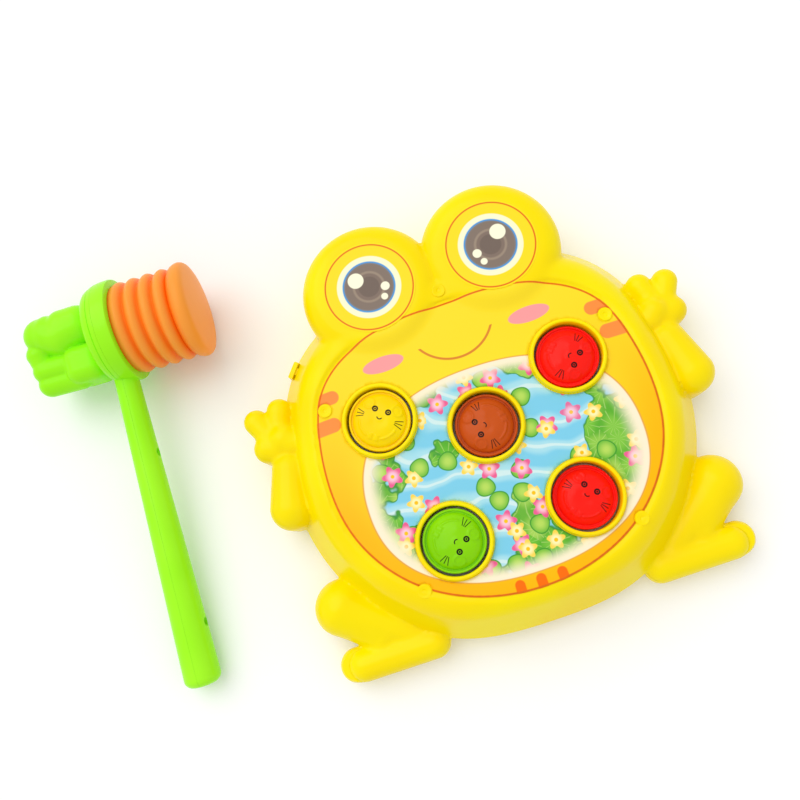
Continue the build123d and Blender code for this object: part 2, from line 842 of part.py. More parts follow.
def gear_sketch(place, teeth, tooth_at, bore):
    """Straight-sided teeth round a pitch circle, one of them centred at the angle tooth_at."""
    pitch_radius = teeth * tooth_module / 2
    pitch_angle = 2 * pi / teeth
    root = pitch_radius - tooth_dedendum * tooth_module
    tip = pitch_radius + tooth_addendum * tooth_module
    points = []
    for tooth in range(teeth):
        middle = radians(tooth_at) + tooth * pitch_angle
        for radius, offset in (
            (root, -tooth_root_share / 2), (tip, -tooth_tip_share / 2),
            (tip, tooth_tip_share / 2), (root, tooth_root_share / 2),
        ):
            angle = middle + offset * pitch_angle
            points.append((place[0] + radius * cos(angle), place[1] + radius * sin(angle)))
    with BuildSketch() as flat:
        with BuildLine():
            Polyline(*points, close=True)
        make_face()
        if bore > 0:
            with Locations(place):
                Circle(bore, mode=Mode.SUBTRACT)
    return flat.sketch


def gear_form(place, teeth, tooth_at, bore, bottom, top):
    with BuildPart() as form:
        with BuildSketch(Plane.XY.offset(bottom)):
            add(gear_sketch(place, teeth, tooth_at, bore))
        extrude(amount=top - bottom)
    return form.part


# Cam disc: a toothed rim with three ramps under the outer moles and one under the middle mole
track_inner = mole_ring_radius - cam_track_width / 2
track_outer = mole_ring_radius + cam_track_width / 2
ramp_root = cam_level + cam_thickness / 2
ramp_half = mole_ring_radius * sin(radians(cam_ramp_angle / 2))
crest_half = mole_ring_radius * sin(radians(cam_crest_angle / 2))
with BuildPart() as ramp:
    with BuildSketch(Plane.YZ):
        with BuildLine():
            Polyline((-ramp_half, ramp_root), (-ramp_half, cam_top), (-crest_half, crest_level),
                     (crest_half, crest_level), (ramp_half, cam_top), (ramp_half, ramp_root), close=True)
        make_face()
    extrude(amount=track_outer)
    with BuildSketch(Plane.XY.offset(ramp_root)):
        Circle(track_outer)
        Circle(track_inner, mode=Mode.SUBTRACT)
    extrude(amount=crest_level - ramp_root, mode=Mode.INTERSECT)

with BuildPart() as cam_disc:
    add(gear_form(cam_centre, cam_teeth, 0, cam_axle_radius + fit, cam_level, cam_top))
    with BuildSketch(Plane.XY.offset(cam_level - cut)):
        with Locations(cam_centre):
            Circle(cam_pitch_radius - cam_rim_width)
            Circle(cam_hub_radius, mode=Mode.SUBTRACT)
            with PolarLocations(cam_pitch_radius / 2, cam_spokes):
                Rectangle(cam_pitch_radius, cam_spoke_width, mode=Mode.SUBTRACT)
    extrude(amount=cam_thickness + 2 * cut, mode=Mode.SUBTRACT)
    with Locations(cam_centre):
        with PolarLocations(0, cam_ramps):
            add(ramp.part)
    with BuildSketch(Plane.XY.offset(ramp_root)):
        Circle(cam_boss_radius)
        with Locations(cam_centre):
            Circle(cam_axle_radius + fit, mode=Mode.SUBTRACT)
    extrude(amount=crest_level - ramp_root)

cam_disc.part.label = "cam_disc"
export_step(cam_disc.part, "parts/cam_disc.step")

with BuildPart() as cam_axle:
    add(column([cam_centre], cam_axle_radius, foot_height + wall / 2 + fit, crest_level))
    chamfer(cam_axle.edges().group_by(Axis.Z)[-1], length=cam_axle_radius / 4)

cam_axle.part.label = "cam_axle"
export_step(cam_axle.part, "parts/cam_axle.step")

# Two compound gears that slow the motor down, on steel pins
pinion_half_tooth = 180 / pinion_teeth
with BuildPart() as second_gear:
    add(gear_form(second_gear_place, pinion_teeth, 180 + pinion_half_tooth, 0, cam_level, cam_top))
    add(column([second_gear_place], gear_hub_radius, cam_top, second_wheel_level))
    add(gear_form(second_gear_place, wheel_teeth, second_gear_angle, 0,
                  second_wheel_level, second_wheel_level + gear_thickness))
    add(column([second_gear_place], gear_hub_radius, second_wheel_level + gear_thickness, bridge_level - seat_gap))
    add(column([second_gear_place], gear_pin_radius + fit, cam_level - cut, bridge_level), mode=Mode.SUBTRACT)

second_gear.part.label = "second_gear"
export_step(second_gear.part, "parts/second_gear.step")

with BuildPart() as first_gear:
    add(gear_form(first_gear_place, pinion_teeth, 180 + second_gear_angle + pinion_half_tooth, 0,
                  second_wheel_level, first_wheel_level))
    add(gear_form(first_gear_place, wheel_teeth, first_gear_angle, 0,
                  first_wheel_level, first_wheel_level + gear_thickness))
    add(column([first_gear_place], gear_hub_radius, first_wheel_level + gear_thickness, bridge_level - seat_gap))
    add(column([first_gear_place], gear_pin_radius + fit, cam_level, bridge_level), mode=Mode.SUBTRACT)

first_gear.part.label = "first_gear"
export_step(first_gear.part, "parts/first_gear.step")

with BuildPart() as gear_pins:
    add(column([second_gear_place, first_gear_place], gear_pin_radius, foot_height + wall / 2 + fit, bridge_top))

gear_pins.part.label = "gear_pins"
export_step(gear_pins.part, "parts/gear_pins.step")

# Bridge plate that holds the upper ends of the pins
with BuildPart() as gear_bridge:
    with BuildSketch(Plane.XY.offset(bridge_level)):
        with Locations(second_gear_place, first_gear_place, *bridge_posts):
            Circle(bridge_margin)
        make_hull()
        with Locations(second_gear_place, first_gear_place):
            Circle(gear_pin_radius + fit, mode=Mode.SUBTRACT)
        with Locations(*bridge_posts):
            Circle(small_pilot_radius + fit, mode=Mode.SUBTRACT)
    extrude(amount=bridge_thickness)

gear_bridge.part.label = "gear_bridge"
export_step(gear_bridge.part, "parts/gear_bridge.step")


def down_screw(places, seat, length):
    """Small screws driven from above, their heads standing on the seat."""
    with BuildPart() as form:
        add(column(places, small_head_radius, seat, seat + small_head_height))
        fillet(form.edges().group_by(Axis.Z)[-1], radius=small_head_height / 3)
        add(column(places, small_pilot_radius - fit, seat - length, seat))
        with BuildSketch(Plane.XY.offset(seat + small_head_height)):
            with Locations(*places):
                Rectangle(small_head_radius, small_head_radius / 4)
                Rectangle(small_head_radius / 4, small_head_radius)
        extrude(amount=-small_head_height / 2, mode=Mode.SUBTRACT)
    return form.part


with BuildPart() as bridge_screws:
    add(down_screw(bridge_posts, bridge_top, bridge_thickness + small_screw_bite))

bridge_screws.part.label = "bridge_screws"
export_step(bridge_screws.part, "parts/bridge_screws.step")

# Motor in its cradle, with its shaft and the brass pinion on it
with BuildPart() as motor:
    add(column([motor_place], motor_radius, motor_level, motor_top))
    fillet(motor.edges().group_by(Axis.Z)[-1], radius=motor_shaft_radius)
    add(column([motor_place], motor_shaft_radius + fit, motor_top - gear_thickness, motor_top), mode=Mode.SUBTRACT)

motor.part.label = "motor"
export_step(motor.part, "parts/motor.step")

with BuildPart() as motor_shaft:
    add(column([motor_place], motor_shaft_radius, motor_top - gear_thickness + fit,
               first_wheel_level + gear_thickness))

motor_shaft.part.label = "motor_shaft"
export_step(motor_shaft.part, "parts/motor_shaft.step")

with BuildPart() as motor_pinion:
    add(gear_form(motor_place, motor_teeth, 180 + first_gear_angle + 180 / motor_teeth, motor_shaft_radius,
                  first_wheel_level, first_wheel_level + gear_thickness))

motor_pinion.part.label = "motor_pinion"
export_step(motor_pinion.part, "parts/motor_pinion.step")

# Sound board with its parts, and the loudspeaker behind the grille in the base
board_top = board_level + board_thickness
with BuildPart() as circuit_board:
    add(block(board_centre, board_length, board_width, board_level, board_top))
    add(column(board_posts, small_pilot_radius + fit, board_level - cut, board_top + cut), mode=Mode.SUBTRACT)

circuit_board.part.label = "circuit_board"
export_step(circuit_board.part, "parts/circuit_board.step")

capacitor_places = [
    (board_centre[0] + side * 2 * chip_radius, board_centre[1] + board_width / 4) for side in (-1, 1)
]
with BuildPart() as board_components:
    add(column([board_centre], chip_radius, board_top, board_top + chip_height))
    fillet(board_components.edges().group_by(Axis.Z)[-1], radius=chip_height / 2)
    add(column(capacitor_places, capacitor_radius, board_top, board_top + capacitor_height))

board_components.part.label = "board_components"
export_step(board_components.part, "parts/board_components.step")

with BuildPart() as board_screws:
    add(down_screw(board_posts, board_top, board_thickness + small_screw_bite))

board_screws.part.label = "board_screws"
export_step(board_screws.part, "parts/board_screws.step")

with BuildPart() as speaker:
    with Locations(speaker_place):
        add(turned(runs(
            (0, floor_level + speaker_flange), (speaker_radius - wall, floor_level),
            (speaker_radius, floor_level), (speaker_radius, floor_level + speaker_flange),
            (speaker_magnet_radius, floor_level + speaker_height),
            (speaker_magnet_radius, floor_level + speaker_height + speaker_magnet_height),
            (0, floor_level + speaker_height + speaker_magnet_height), (0, floor_level + speaker_flange),
        )))

speaker.part.label = "speaker"
export_step(speaker.part, "parts/speaker.step")

# Slide switch: a body inside the wall, and the knob that shows outside
with BuildPart() as switch_body:
    add(switch_box(switch_body_length, switch_body_width, -switch_back - switch_body_depth, -switch_back,
                   switch_travel / 2))
    add(switch_box(slot_length, slot_width, -switch_back - switch_body_depth / 2, cut, switch_travel / 2),
        mode=Mode.SUBTRACT)

switch_body.part.label = "switch_body"
export_step(switch_body.part, "parts/switch_body.step")

with BuildPart() as switch_knob:
    add(switch_box(switch_knob_length, switch_knob_width, seat_gap, seat_gap + switch_knob_proud))
    fillet(switch_knob.faces().sort_by(lambda face: face.center().dot(switch_plane.z_dir))[-1].edges(),
           radius=switch_knob_proud / 3)
    add(switch_box(switch_stem_length, switch_stem_width, -switch_back - switch_body_depth / 2 + seat_gap, cut))

switch_knob.part.label = "switch_knob"
export_step(switch_knob.part, "parts/switch_knob.step")

# Hammer, drawn in its own frame and then laid down: the ring and the handle's end touch the table
hammer_tilt = degrees(asin((ring_radius - handle_end_radius) / (handle_reach - handle_end_radius)))
hammer_rest = (
    Location((*hammer_place, ring_radius))
    * Location((0, 0, 0), (0, 0, hammer_turn))
    * Location((0, 0, 0), (hammer_tilt, 0, 0))
)
ring_half = ring_width / 2
handle_length = handle_reach - ring_radius
handle_slope = (handle_end_radius - handle_neck_radius) / handle_length
ring_bore = ring_radius - hammer_wall
lip_bore = bellows_radius - bellows_rib_depth + bellows_flange
hammer_screws_at = [-ring_radius - share * handle_length for share in hammer_screw_shares]


def handle_form(inset):
    """The handle: a slowly widening round bar with a rounded end."""
    neck = handle_neck_radius - inset
    end = handle_end_radius - inset
    start = -ring_bore
    finish = -handle_reach + inset
    with BuildPart() as form:
        with BuildSketch(Plane.XY):
            with BuildLine():
                Line((0, start), (neck, start))
                Line((neck, start), (end, finish + handle_end_round))
                ThreePointArc(
                    (end, finish + handle_end_round),
                    (end - handle_end_round * (1 - sqrt(0.5)), finish + handle_end_round * (1 - sqrt(0.5))),
                    (end - handle_end_round, finish),
                )
                Line((end - handle_end_round, finish), (0, finish))
                Line((0, finish), (0, start))
            make_face()
        revolve(axis=Axis.Y)
    return form.part


def across(radius, start, end, forward=0):
    """A round bar along X, from start to end, at a place along the handle."""
    with BuildPart() as form:
        with BuildSketch(Plane.YZ.offset(start)):
            with Locations((forward, 0)):
                Circle(radius)
        extrude(amount=end - start)
    return form.part


with BuildPart() as handle_whole:
    add(across(ring_radius - ring_band_step, -ring_half, ring_half))
    add(across(ring_radius, -ring_half + ring_width * ring_band_share, ring_half))
    add(across(ring_bore, -ring_half + hammer_wall, ring_half - hammer_wall), mode=Mode.SUBTRACT)
    add(across(lip_bore, ring_half - 2 * hammer_wall, ring_half + cut), mode=Mode.SUBTRACT)
    add(handle_form(0))
    add(handle_form(hammer_wall), mode=Mode.SUBTRACT)
    for forward in hammer_screws_at:
        bar = handle_neck_radius + handle_slope * (-ring_radius - forward)
        add(across(hammer_boss_radius, -bar + hammer_wall / 2, bar - hammer_wall / 2, forward))
        add(across(pilot_radius, -bar + 2 * hammer_wall, bar + cut, forward), mode=Mode.SUBTRACT)
        add(across(hammer_recess_radius, bar - hammer_recess_depth, bar + cut, forward), mode=Mode.SUBTRACT)

with BuildPart() as handle_front:
    add(handle_whole.part)
    split(bisect_by=Plane.YZ, keep=Keep.TOP)

with BuildPart() as handle_back:
    add(handle_whole.part)
    split(bisect_by=Plane.YZ, keep=Keep.BOTTOM)

with BuildPart() as hammer_screws:
    for forward in hammer_screws_at:
        bar = handle_neck_radius + handle_slope * (-ring_radius - forward)
        seat = bar - hammer_recess_depth
        add(across(hammer_recess_radius - fit, seat, seat + hammer_recess_depth / 2, forward))
        add(across(pilot_radius - fit, -bar + 2 * hammer_wall + fit, seat, forward))

# Bellows: a soft tube with ribs, its root caught behind the ring's lip
rib_root = bellows_radius - bellows_rib_depth
bellows_end = ring_half + bellows_ribs * bellows_rib_pitch
face_end = bellows_end + bellows_face_depth


def bellows_line(inset):
    """The bellows' outline from the ring to the face, as radius against distance along X."""
    arcs = []
    for rib in range(bellows_ribs):
        start = ring_half + rib * bellows_rib_pitch
        arcs.append(((start, rib_root - inset), (start + bellows_rib_pitch / 2, bellows_radius - inset),
                     (start + bellows_rib_pitch, rib_root - inset)))
    return arcs


def about_head(lines):
    """A part turned about the head's axis from closed runs of lines and arcs."""
    with BuildPart() as form:
        with BuildSketch(Plane.XY):
            with BuildLine():
                for points in lines:
                    if len(points) == 3:
                        ThreePointArc(*points)
                    else:
                        Line(*points)
            make_face()
        revolve(axis=Axis.X)
    return form.part


flange_back = ring_half - hammer_wall - seat_gap
with BuildPart() as bellows:
    add(about_head(
        bellows_line(0)
        + runs((bellows_end, rib_root), (bellows_end, 0), (flange_back - bellows_flange, 0),
               (flange_back - bellows_flange, lip_bore + bellows_flange_rise),
               (flange_back, lip_bore + bellows_flange_rise), (flange_back, rib_root), (ring_half, rib_root))
    ))
    add(about_head(
        bellows_line(bellows_wall)
        + runs((bellows_end, rib_root - bellows_wall), (bellows_end + cut, rib_root - bellows_wall),
               (bellows_end + cut, 0), (0, 0), (0, rib_root - bellows_wall), (ring_half, rib_root - bellows_wall))
    ), mode=Mode.SUBTRACT)

face_flat = bellows_face_radius - bellows_rib_depth
face_dome = [(face_end - bellows_face_dome + rise, radius)
             for radius, rise in dome(face_flat, bellows_face_dome)]
with BuildPart() as bellows_face:
    add(about_head(
        [((bellows_end, rib_root), ((bellows_end + face_end) / 2, bellows_face_radius), face_dome[0]), face_dome]
        + runs((face_end, 0), (bellows_end, 0), (bellows_end, rib_root))
    ))

with BuildPart() as squeaker:
    add(across(squeaker_radius, -ring_half + hammer_wall, -ring_half + hammer_wall + squeaker_length))
    add(across(squeaker_radius / 3, -ring_half + hammer_wall + squeaker_length / 2, ring_half), mode=Mode.SUBTRACT)

# Fist on the back of the ring: a palm block with curled fingers and a thumb laid over them
fist_back = -ring_half - fist_length
finger_spread = (fist_width - 2 * fist_finger_radius) / fist_fingers
finger_line = fist_back + fist_finger_radius
with BuildPart() as fist:
    with BuildSketch(Plane.XY.offset(-fist_depth / 2)):
        with Locations((-ring_half - (fist_length - fist_finger_radius) / 2, 0)):
            Rectangle(fist_length - fist_finger_radius, fist_width)
    extrude(amount=fist_depth)
    fillet(fist.edges().filter_by(Axis.X), radius=fist_edge)
    reach = fist_depth / 2 - fist_finger_radius
    for finger in range(fist_fingers + 1):
        forward = -fist_width / 2 + fist_finger_radius + finger * finger_spread
        add(limb((finger_line, forward, -reach), fist_finger_radius, (finger_line, forward, reach),
                 fist_finger_radius - hammer_wall / 2))
    add(limb((-ring_half - thumb_radius, fist_width / 4, fist_depth / 2 - thumb_radius / 2), thumb_radius,
             (finger_line, fist_width / 5, fist_depth / 2 - fist_finger_radius), fist_finger_radius))

with BuildPart() as fist_hollow:
    with BuildSketch(Plane.XY.offset(-fist_depth / 2 + 2 * hammer_wall)):
        with Locations((-ring_half - (fist_length - fist_finger_radius) / 2, 0)):
            Rectangle(fist_length - fist_finger_radius - 4 * hammer_wall, fist_width - 4 * hammer_wall)
    extrude(amount=fist_depth - 4 * hammer_wall)

with BuildPart() as fist_upper:
    add(fist.part)
    add(fist_hollow.part, mode=Mode.SUBTRACT)
    split(bisect_by=Plane.YZ.offset(-ring_half), keep=Keep.BOTTOM)
    split(bisect_by=Plane.XY.offset(-fist_seam_drop), keep=Keep.TOP)

with BuildPart() as fist_lower:
    add(fist.part)
    add(fist_hollow.part, mode=Mode.SUBTRACT)
    split(bisect_by=Plane.YZ.offset(-ring_half), keep=Keep.BOTTOM)
    split(bisect_by=Plane.XY.offset(-fist_seam_drop), keep=Keep.BOTTOM)

for piece, name in (
    (handle_front, "hammer_handle_front"),
    (handle_back, "hammer_handle_back"),
    (hammer_screws, "hammer_screws"),
    (bellows, "bellows"),
    (bellows_face, "bellows_face"),
    (squeaker, "squeaker"),
    (fist_upper, "fist_upper"),
    (fist_lower, "fist_lower"),
):
    laid = piece.part.moved(hammer_rest)
    laid.label = name
    export_step(laid, f"parts/{name}.step")
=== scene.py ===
"""The looks of a mole pounding game: a frog with five moles in its belly, and the squeaky hammer beside it."""

import json
import math
from itertools import product

import bmesh
import bpy
import numpy as np
from mathutils import Matrix, Vector, geometry

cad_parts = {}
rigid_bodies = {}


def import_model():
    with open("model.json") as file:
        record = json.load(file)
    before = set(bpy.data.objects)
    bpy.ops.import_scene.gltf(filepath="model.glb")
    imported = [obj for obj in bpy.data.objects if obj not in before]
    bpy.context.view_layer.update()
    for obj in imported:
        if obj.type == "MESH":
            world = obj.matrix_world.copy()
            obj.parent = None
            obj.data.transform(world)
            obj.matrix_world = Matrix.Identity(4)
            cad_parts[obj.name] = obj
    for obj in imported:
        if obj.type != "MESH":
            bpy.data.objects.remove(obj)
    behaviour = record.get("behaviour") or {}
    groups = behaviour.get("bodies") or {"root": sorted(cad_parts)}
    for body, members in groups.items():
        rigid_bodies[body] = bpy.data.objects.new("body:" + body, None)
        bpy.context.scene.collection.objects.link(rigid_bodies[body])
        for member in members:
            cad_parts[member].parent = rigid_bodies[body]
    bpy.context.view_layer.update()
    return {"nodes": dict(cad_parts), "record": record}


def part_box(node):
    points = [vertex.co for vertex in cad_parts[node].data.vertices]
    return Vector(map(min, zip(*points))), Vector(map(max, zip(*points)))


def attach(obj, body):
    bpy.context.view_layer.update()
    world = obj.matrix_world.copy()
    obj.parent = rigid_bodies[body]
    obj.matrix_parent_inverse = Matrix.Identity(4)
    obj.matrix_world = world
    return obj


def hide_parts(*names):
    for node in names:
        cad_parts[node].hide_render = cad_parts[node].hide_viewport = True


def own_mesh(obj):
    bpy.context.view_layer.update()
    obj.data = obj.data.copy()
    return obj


for leftover in list(bpy.data.objects):
    bpy.data.objects.remove(leftover)
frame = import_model()
MM = 0.001

# Camera: above the frog, looking a little towards its eyes, with the frog turned in the picture.
# The pixels are those of the photograph: the point straight below the lens, and the middle mole's top.
IMAGE_CENTRE = 400
FOCAL_PIXELS = 800
POINT_BELOW_PIXEL = (481.4, 552.7)
MIDDLE_MOLE_PIXEL = (486.4, 423.9)
FROG_TURN = math.radians(19.04)
CAMERA_HEIGHT = 443.5 * MM
SENSOR = 36.0


def pixel_ray(pixel):
    """The direction of a pixel from the lens: right, down and ahead."""
    return Vector((pixel[0] - IMAGE_CENTRE, pixel[1] - IMAGE_CENTRE, FOCAL_PIXELS))


up_axis = -pixel_ray(POINT_BELOW_PIXEL).normalized()
forward_axis = Vector((-math.sin(FROG_TURN), -math.cos(FROG_TURN), 0))
forward_axis = (forward_axis - forward_axis.dot(up_axis) * up_axis).normalized()
lens_to_frog = Matrix((forward_axis.cross(up_axis), forward_axis, up_axis))
middle_mole_top = Vector((0, 0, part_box("mole_cap_centre")[1].z))
mole_ray = lens_to_frog @ pixel_ray(MIDDLE_MOLE_PIXEL)
lens_place = middle_mole_top - mole_ray * (middle_mole_top.z - CAMERA_HEIGHT) / mole_ray.z

camera_data = bpy.data.cameras.new("camera")
camera_data.sensor_width = SENSOR
camera_data.lens = SENSOR * FOCAL_PIXELS / (2 * IMAGE_CENTRE)
camera = bpy.data.objects.new("camera", camera_data)
camera.matrix_world = Matrix.Translation(lens_place) @ (
    lens_to_frog @ Matrix(((1, 0, 0), (0, -1, 0), (0, 0, -1)))
).to_4x4()
bpy.context.scene.collection.objects.link(camera)
bpy.context.scene.camera = camera
bpy.context.scene.view_settings.view_transform = "Standard"

# Table and light: a white table under a white room, and one wide soft lamp from the far left.
WORLD_LEVEL = 0.72
LAMP_LEVEL = 1.15
LAMP_WIDTH = math.radians(55)
LAMP_DIRECTION = Vector((0.35, -0.5, -1.0))
TABLE_HALF = 3.0
TABLE_WHITE = 0.97
TABLE_GLOW = 0.05

world = bpy.data.worlds.new("room")
world.use_nodes = True
room_light = world.node_tree.nodes["Background"]
room_light.inputs["Color"].default_value = (1, 1, 1, 1)
room_nodes = world.node_tree
light_path = room_nodes.nodes.new("ShaderNodeLightPath")
seen = light_path.outputs["Is Camera Ray"]
for ray in ("Is Glossy Ray", "Is Transmission Ray"):
    either = room_nodes.nodes.new("ShaderNodeMath")
    either.operation = "MAXIMUM"
    room_nodes.links.new(seen, either.inputs[0])
    room_nodes.links.new(light_path.outputs[ray], either.inputs[1])
    seen = either.outputs[0]
level = room_nodes.nodes.new("ShaderNodeMapRange")
level.inputs["To Min"].default_value = WORLD_LEVEL
level.inputs["To Max"].default_value = 1.0
room_nodes.links.new(seen, level.inputs["Value"])
room_nodes.links.new(level.outputs["Result"], room_light.inputs["Strength"])
bpy.context.scene.world = world

lamp_data = bpy.data.lights.new("window", "SUN")
lamp_data.energy = LAMP_LEVEL
lamp_data.angle = LAMP_WIDTH
lamp = bpy.data.objects.new("window", lamp_data)
lamp.rotation_mode = "QUATERNION"
lamp.rotation_quaternion = LAMP_DIRECTION.to_track_quat("-Z", "Y")
bpy.context.scene.collection.objects.link(lamp)

table_mesh = bpy.data.meshes.new("table")
table_mesh.from_pydata(
    [(x * TABLE_HALF, y * TABLE_HALF, 0) for x, y in ((-1, -1), (1, -1), (1, 1), (-1, 1))], [], [(0, 1, 2, 3)]
)
table = bpy.data.objects.new("table", table_mesh)
table_white = bpy.data.materials.new("table_white")
table_white.use_nodes = True
table_shader = table_white.node_tree.nodes["Principled BSDF"]
table_shader.inputs["Base Color"].default_value = (TABLE_WHITE, TABLE_WHITE, TABLE_WHITE, 1)
table_shader.inputs["Roughness"].default_value = 0.9
table_shader.inputs["Specular IOR Level"].default_value = 0.1
table_shader.inputs["Emission Color"].default_value = (1, 1, 1, 1)
table_path = table_white.node_tree.nodes.new("ShaderNodeLightPath")
table_glow = table_white.node_tree.nodes.new("ShaderNodeMapRange")
table_glow.inputs["To Max"].default_value = TABLE_GLOW
table_white.node_tree.links.new(table_path.outputs["Is Camera Ray"], table_glow.inputs["Value"])
table_white.node_tree.links.new(table_glow.outputs["Result"], table_shader.inputs["Emission Strength"])
table_mesh.materials.append(table_white)
bpy.context.scene.collection.objects.link(table)


# Yellow shell plastic: a glossy, slightly waxy moulded yellow that turns orange where it is in shade.
SHINE = 0.12


class Value:
    """A number or colour that changes over a surface, with Python's arithmetic signs for numbers."""

    def __init__(self, finish, socket):
        self.finish, self.socket = finish, socket

    def other(self, out):
        """Another output of the node that this value comes from."""
        return Value(self.finish, self.socket.node.outputs[out])

    def math(self, operation, *items):
        return self.finish.make("ShaderNodeMath", {"operation": operation}, *items)

    def __add__(self, other):
        return self.math("ADD", self, other)

    def __radd__(self, other):
        return self.math("ADD", other, self)

    def __sub__(self, other):
        return self.math("SUBTRACT", self, other)

    def __rsub__(self, other):
        return self.math("SUBTRACT", other, self)

    def __mul__(self, other):
        return self.math("MULTIPLY", self, other)

    def __rmul__(self, other):
        return self.math("MULTIPLY", other, self)

    def __truediv__(self, other):
        return self.math("DIVIDE", self, other)

    def __pow__(self, other):
        return self.math("POWER", self, other)

    def __abs__(self):
        return self.math("ABSOLUTE", self)

    def __or__(self, other):
        return self.math("MAXIMUM", self, other)

    def __and__(self, other):
        return self.math("MINIMUM", self, other)


class Finish:
    """One material: its nodes are made one at a time, and Principled holds its fixed numbers."""

    def __init__(self, name, **fixed):
        self.material = bpy.data.materials.new(name)
        self.material.use_nodes = True
        self.tree = self.material.node_tree
        self.shader = self.tree.nodes["Principled BSDF"]
        self.shader.inputs["Specular IOR Level"].default_value = SHINE
        for socket, number in fixed.items():
            self.shader.inputs[socket.replace("_", " ")].default_value = number

    def feed(self, socket, item):
        if isinstance(item, Value):
            self.tree.links.new(item.socket, socket)
        elif item is not None:
            socket.default_value = item

    def make(self, kind, settings, *items, out=0, **named):
        node = self.tree.nodes.new(kind)
        for key, setting in settings.items():
            if key == "stops":
                for stop, (place, colour) in enumerate(setting):
                    element = node.color_ramp.elements[stop] if stop < 2 else node.color_ramp.elements.new(place)
                    element.position, element.color = place, colour
            else:
                setattr(node, key, setting)
        for slot, item in enumerate(items):
            self.feed(node.inputs[slot], item)
        for name, item in named.items():
            self.feed(node.inputs[name.replace("_", " ")], item)
        return Value(self, node.outputs[out])

    def blend(self, share, first, second):
        """A colour between two colours: a Mix node's own sockets for colours are its 7th and 8th."""
        return self.make("ShaderNodeMix", {"data_type": "RGBA"}, share, *[None] * 5, first, second, out=2)

    def step(self, number, start, end):
        """0 before start, 1 after end and a soft rise between them."""
        return self.make("ShaderNodeMapRange", {"interpolation_type": "SMOOTHSTEP"}, number, start, end, 0.0, 1.0)

    def millimetres(self):
        """The place on the object as x and y in millimetres, and the point itself in metres."""
        point = self.make("ShaderNodeTexCoord", {}, out=3)
        place = self.make("ShaderNodeSeparateXYZ", {}, point)
        return place / MM, place.other(1) / MM, point

    def distance(self, x, y, centre):
        dx, dy = x - centre[0], y - centre[1]
        return self.math_root(dx * dx + dy * dy)

    def math_root(self, number):
        return self.make("ShaderNodeMath", {"operation": "SQRT"}, number)

    def noise(self, point, scale, detail=2.0):
        return self.make("ShaderNodeTexNoise", {}, Vector=point, Scale=scale, Detail=detail)

    def surface(self, colour=None, roughness=None, bump=None, bump_depth=0.0):
        """Joins the colour, the roughness and a height in metres to the shader."""
        self.feed(self.shader.inputs["Base Color"], colour)
        self.feed(self.shader.inputs["Roughness"], roughness)
        if bump is not None:
            relief = self.make("ShaderNodeBump", {}, Height=bump, Strength=1.0, Distance=bump_depth)
            self.feed(self.shader.inputs["Normal"], relief)


def paint(red, green, blue):
    """A colour from 0 to 255 in each part, as the shader's linear numbers."""
    return (*(((c / 255 + 0.055) / 1.055) ** 2.4 if c > 10 else c / 255 / 12.92 for c in (red, green, blue)), 1.0)


SHELL_YELLOW = paint(255, 235, 0)
SHELL_DEEP = paint(255, 226, 0)
FILM_YELLOW = paint(255, 218, 40)
FILM_ORANGE = paint(255, 188, 30)
LINE_ORANGE = paint(236, 112, 24)


def moulded(name, colour, deeper, roughness=0.24, **fixed):
    """Glossy moulded plastic: faint clouds in its colour and gloss, and the slight waviness of a moulding."""
    finish = Finish(name, **fixed)
    point = finish.millimetres()[2]
    clouds = finish.noise(point, 18.0)
    waviness = finish.noise(point, 60.0, 1.0)
    grain = finish.noise(point, 900.0, 3.0)
    gloss = grain * 0.05 + clouds * 0.06 + (roughness - 0.055)
    finish.surface(finish.blend(finish.step(clouds, 0.35, 0.65), colour, deeper), gloss,
                   waviness * 0.9 + grain * 0.1, 0.00006)
    return finish


# Frog's forms: distances in millimetres to the smooth moulding that both shells are cut from.
# The body is a slab with a round edge, the eyes two round domes, and the limbs tapered rods that run together.
BODY_HALF_WIDTH = 108.4
BODY_REACH = 102.3
BODY_SHARES = (
    (0, -1), (0.47, -0.93), (0.742, -0.725), (0.905, -0.475), (1, -0.12), (0.98, 0.22),
    (0.9, 0.522), (0.822, 0.655), (0.71, 0.77), (0.42, 0.91), (0, 0.96),
)
LABEL_HALF_WIDTH = 85.8
LABEL_REACH = 84.0
LABEL_SHARES = (
    (0, -1), (0.43, -0.917), (0.67, -0.776), (0.885, -0.52), (0.96, -0.346), (1, -0.11),
    (0.974, 0.255), (0.89, 0.504), (0.762, 0.643), (0.6, 0.732), (0, 0.81),
)
BASE = 2.0
PARTING = 16.0
RIM = 45.4
LABEL_LEVEL = 44.0
BODY_EDGE = 9.0
FLANK_LEAN = 15.0
BASE_EDGE = 5.0
EYE_PLACE = (33.5, 88.5)
EYE_RADIUS = 37.5
EYE_TOP = 47.0
EYE_EDGE = 12.0
WALL = 2.2
OUTLINE_POINTS = 360
HAND_LEVEL = 26.0
LEG_LEVEL = 13.0
HAND_RODS = (
    ((115.2, 44.3, 26), 6.8, (110.0, 33.0, 26), 6.2),
    ((101.7, 46.2, 26), 6.8, (105.5, 33.5, 26), 6.2),
    ((112.9, 28.4, 26), 7.8, (108.5, 26.0, 26), 7.4),
    ((102.8, 30.2, 28.5), 8.0, (99.6, 27.0, 28.5), 7.2),
    ((109.8, -6.0, 26), 11.7, (105.0, 14.0, 26), 9.7),
)
LEG_RODS = (
    ((101.2, -63.0, 13), 14.7, (66.0, -89.5, 13), 6.5),
    ((101.2, -63.0, 13), 14.7, (87.0, -83.0, 13), 8.5),
    ((99.1, -93.7, 13), 8.7, (61.4, -93.8, 13), 8.5),
)
SOLE_ROD = ((103.3, -92.9, 10.5), 9.0, (61.4, -93.8, 10.5), 8.5)
ROD_BLEND = 2.2
LIMB_BLEND = 1.6
EYE_BLEND = 2.2
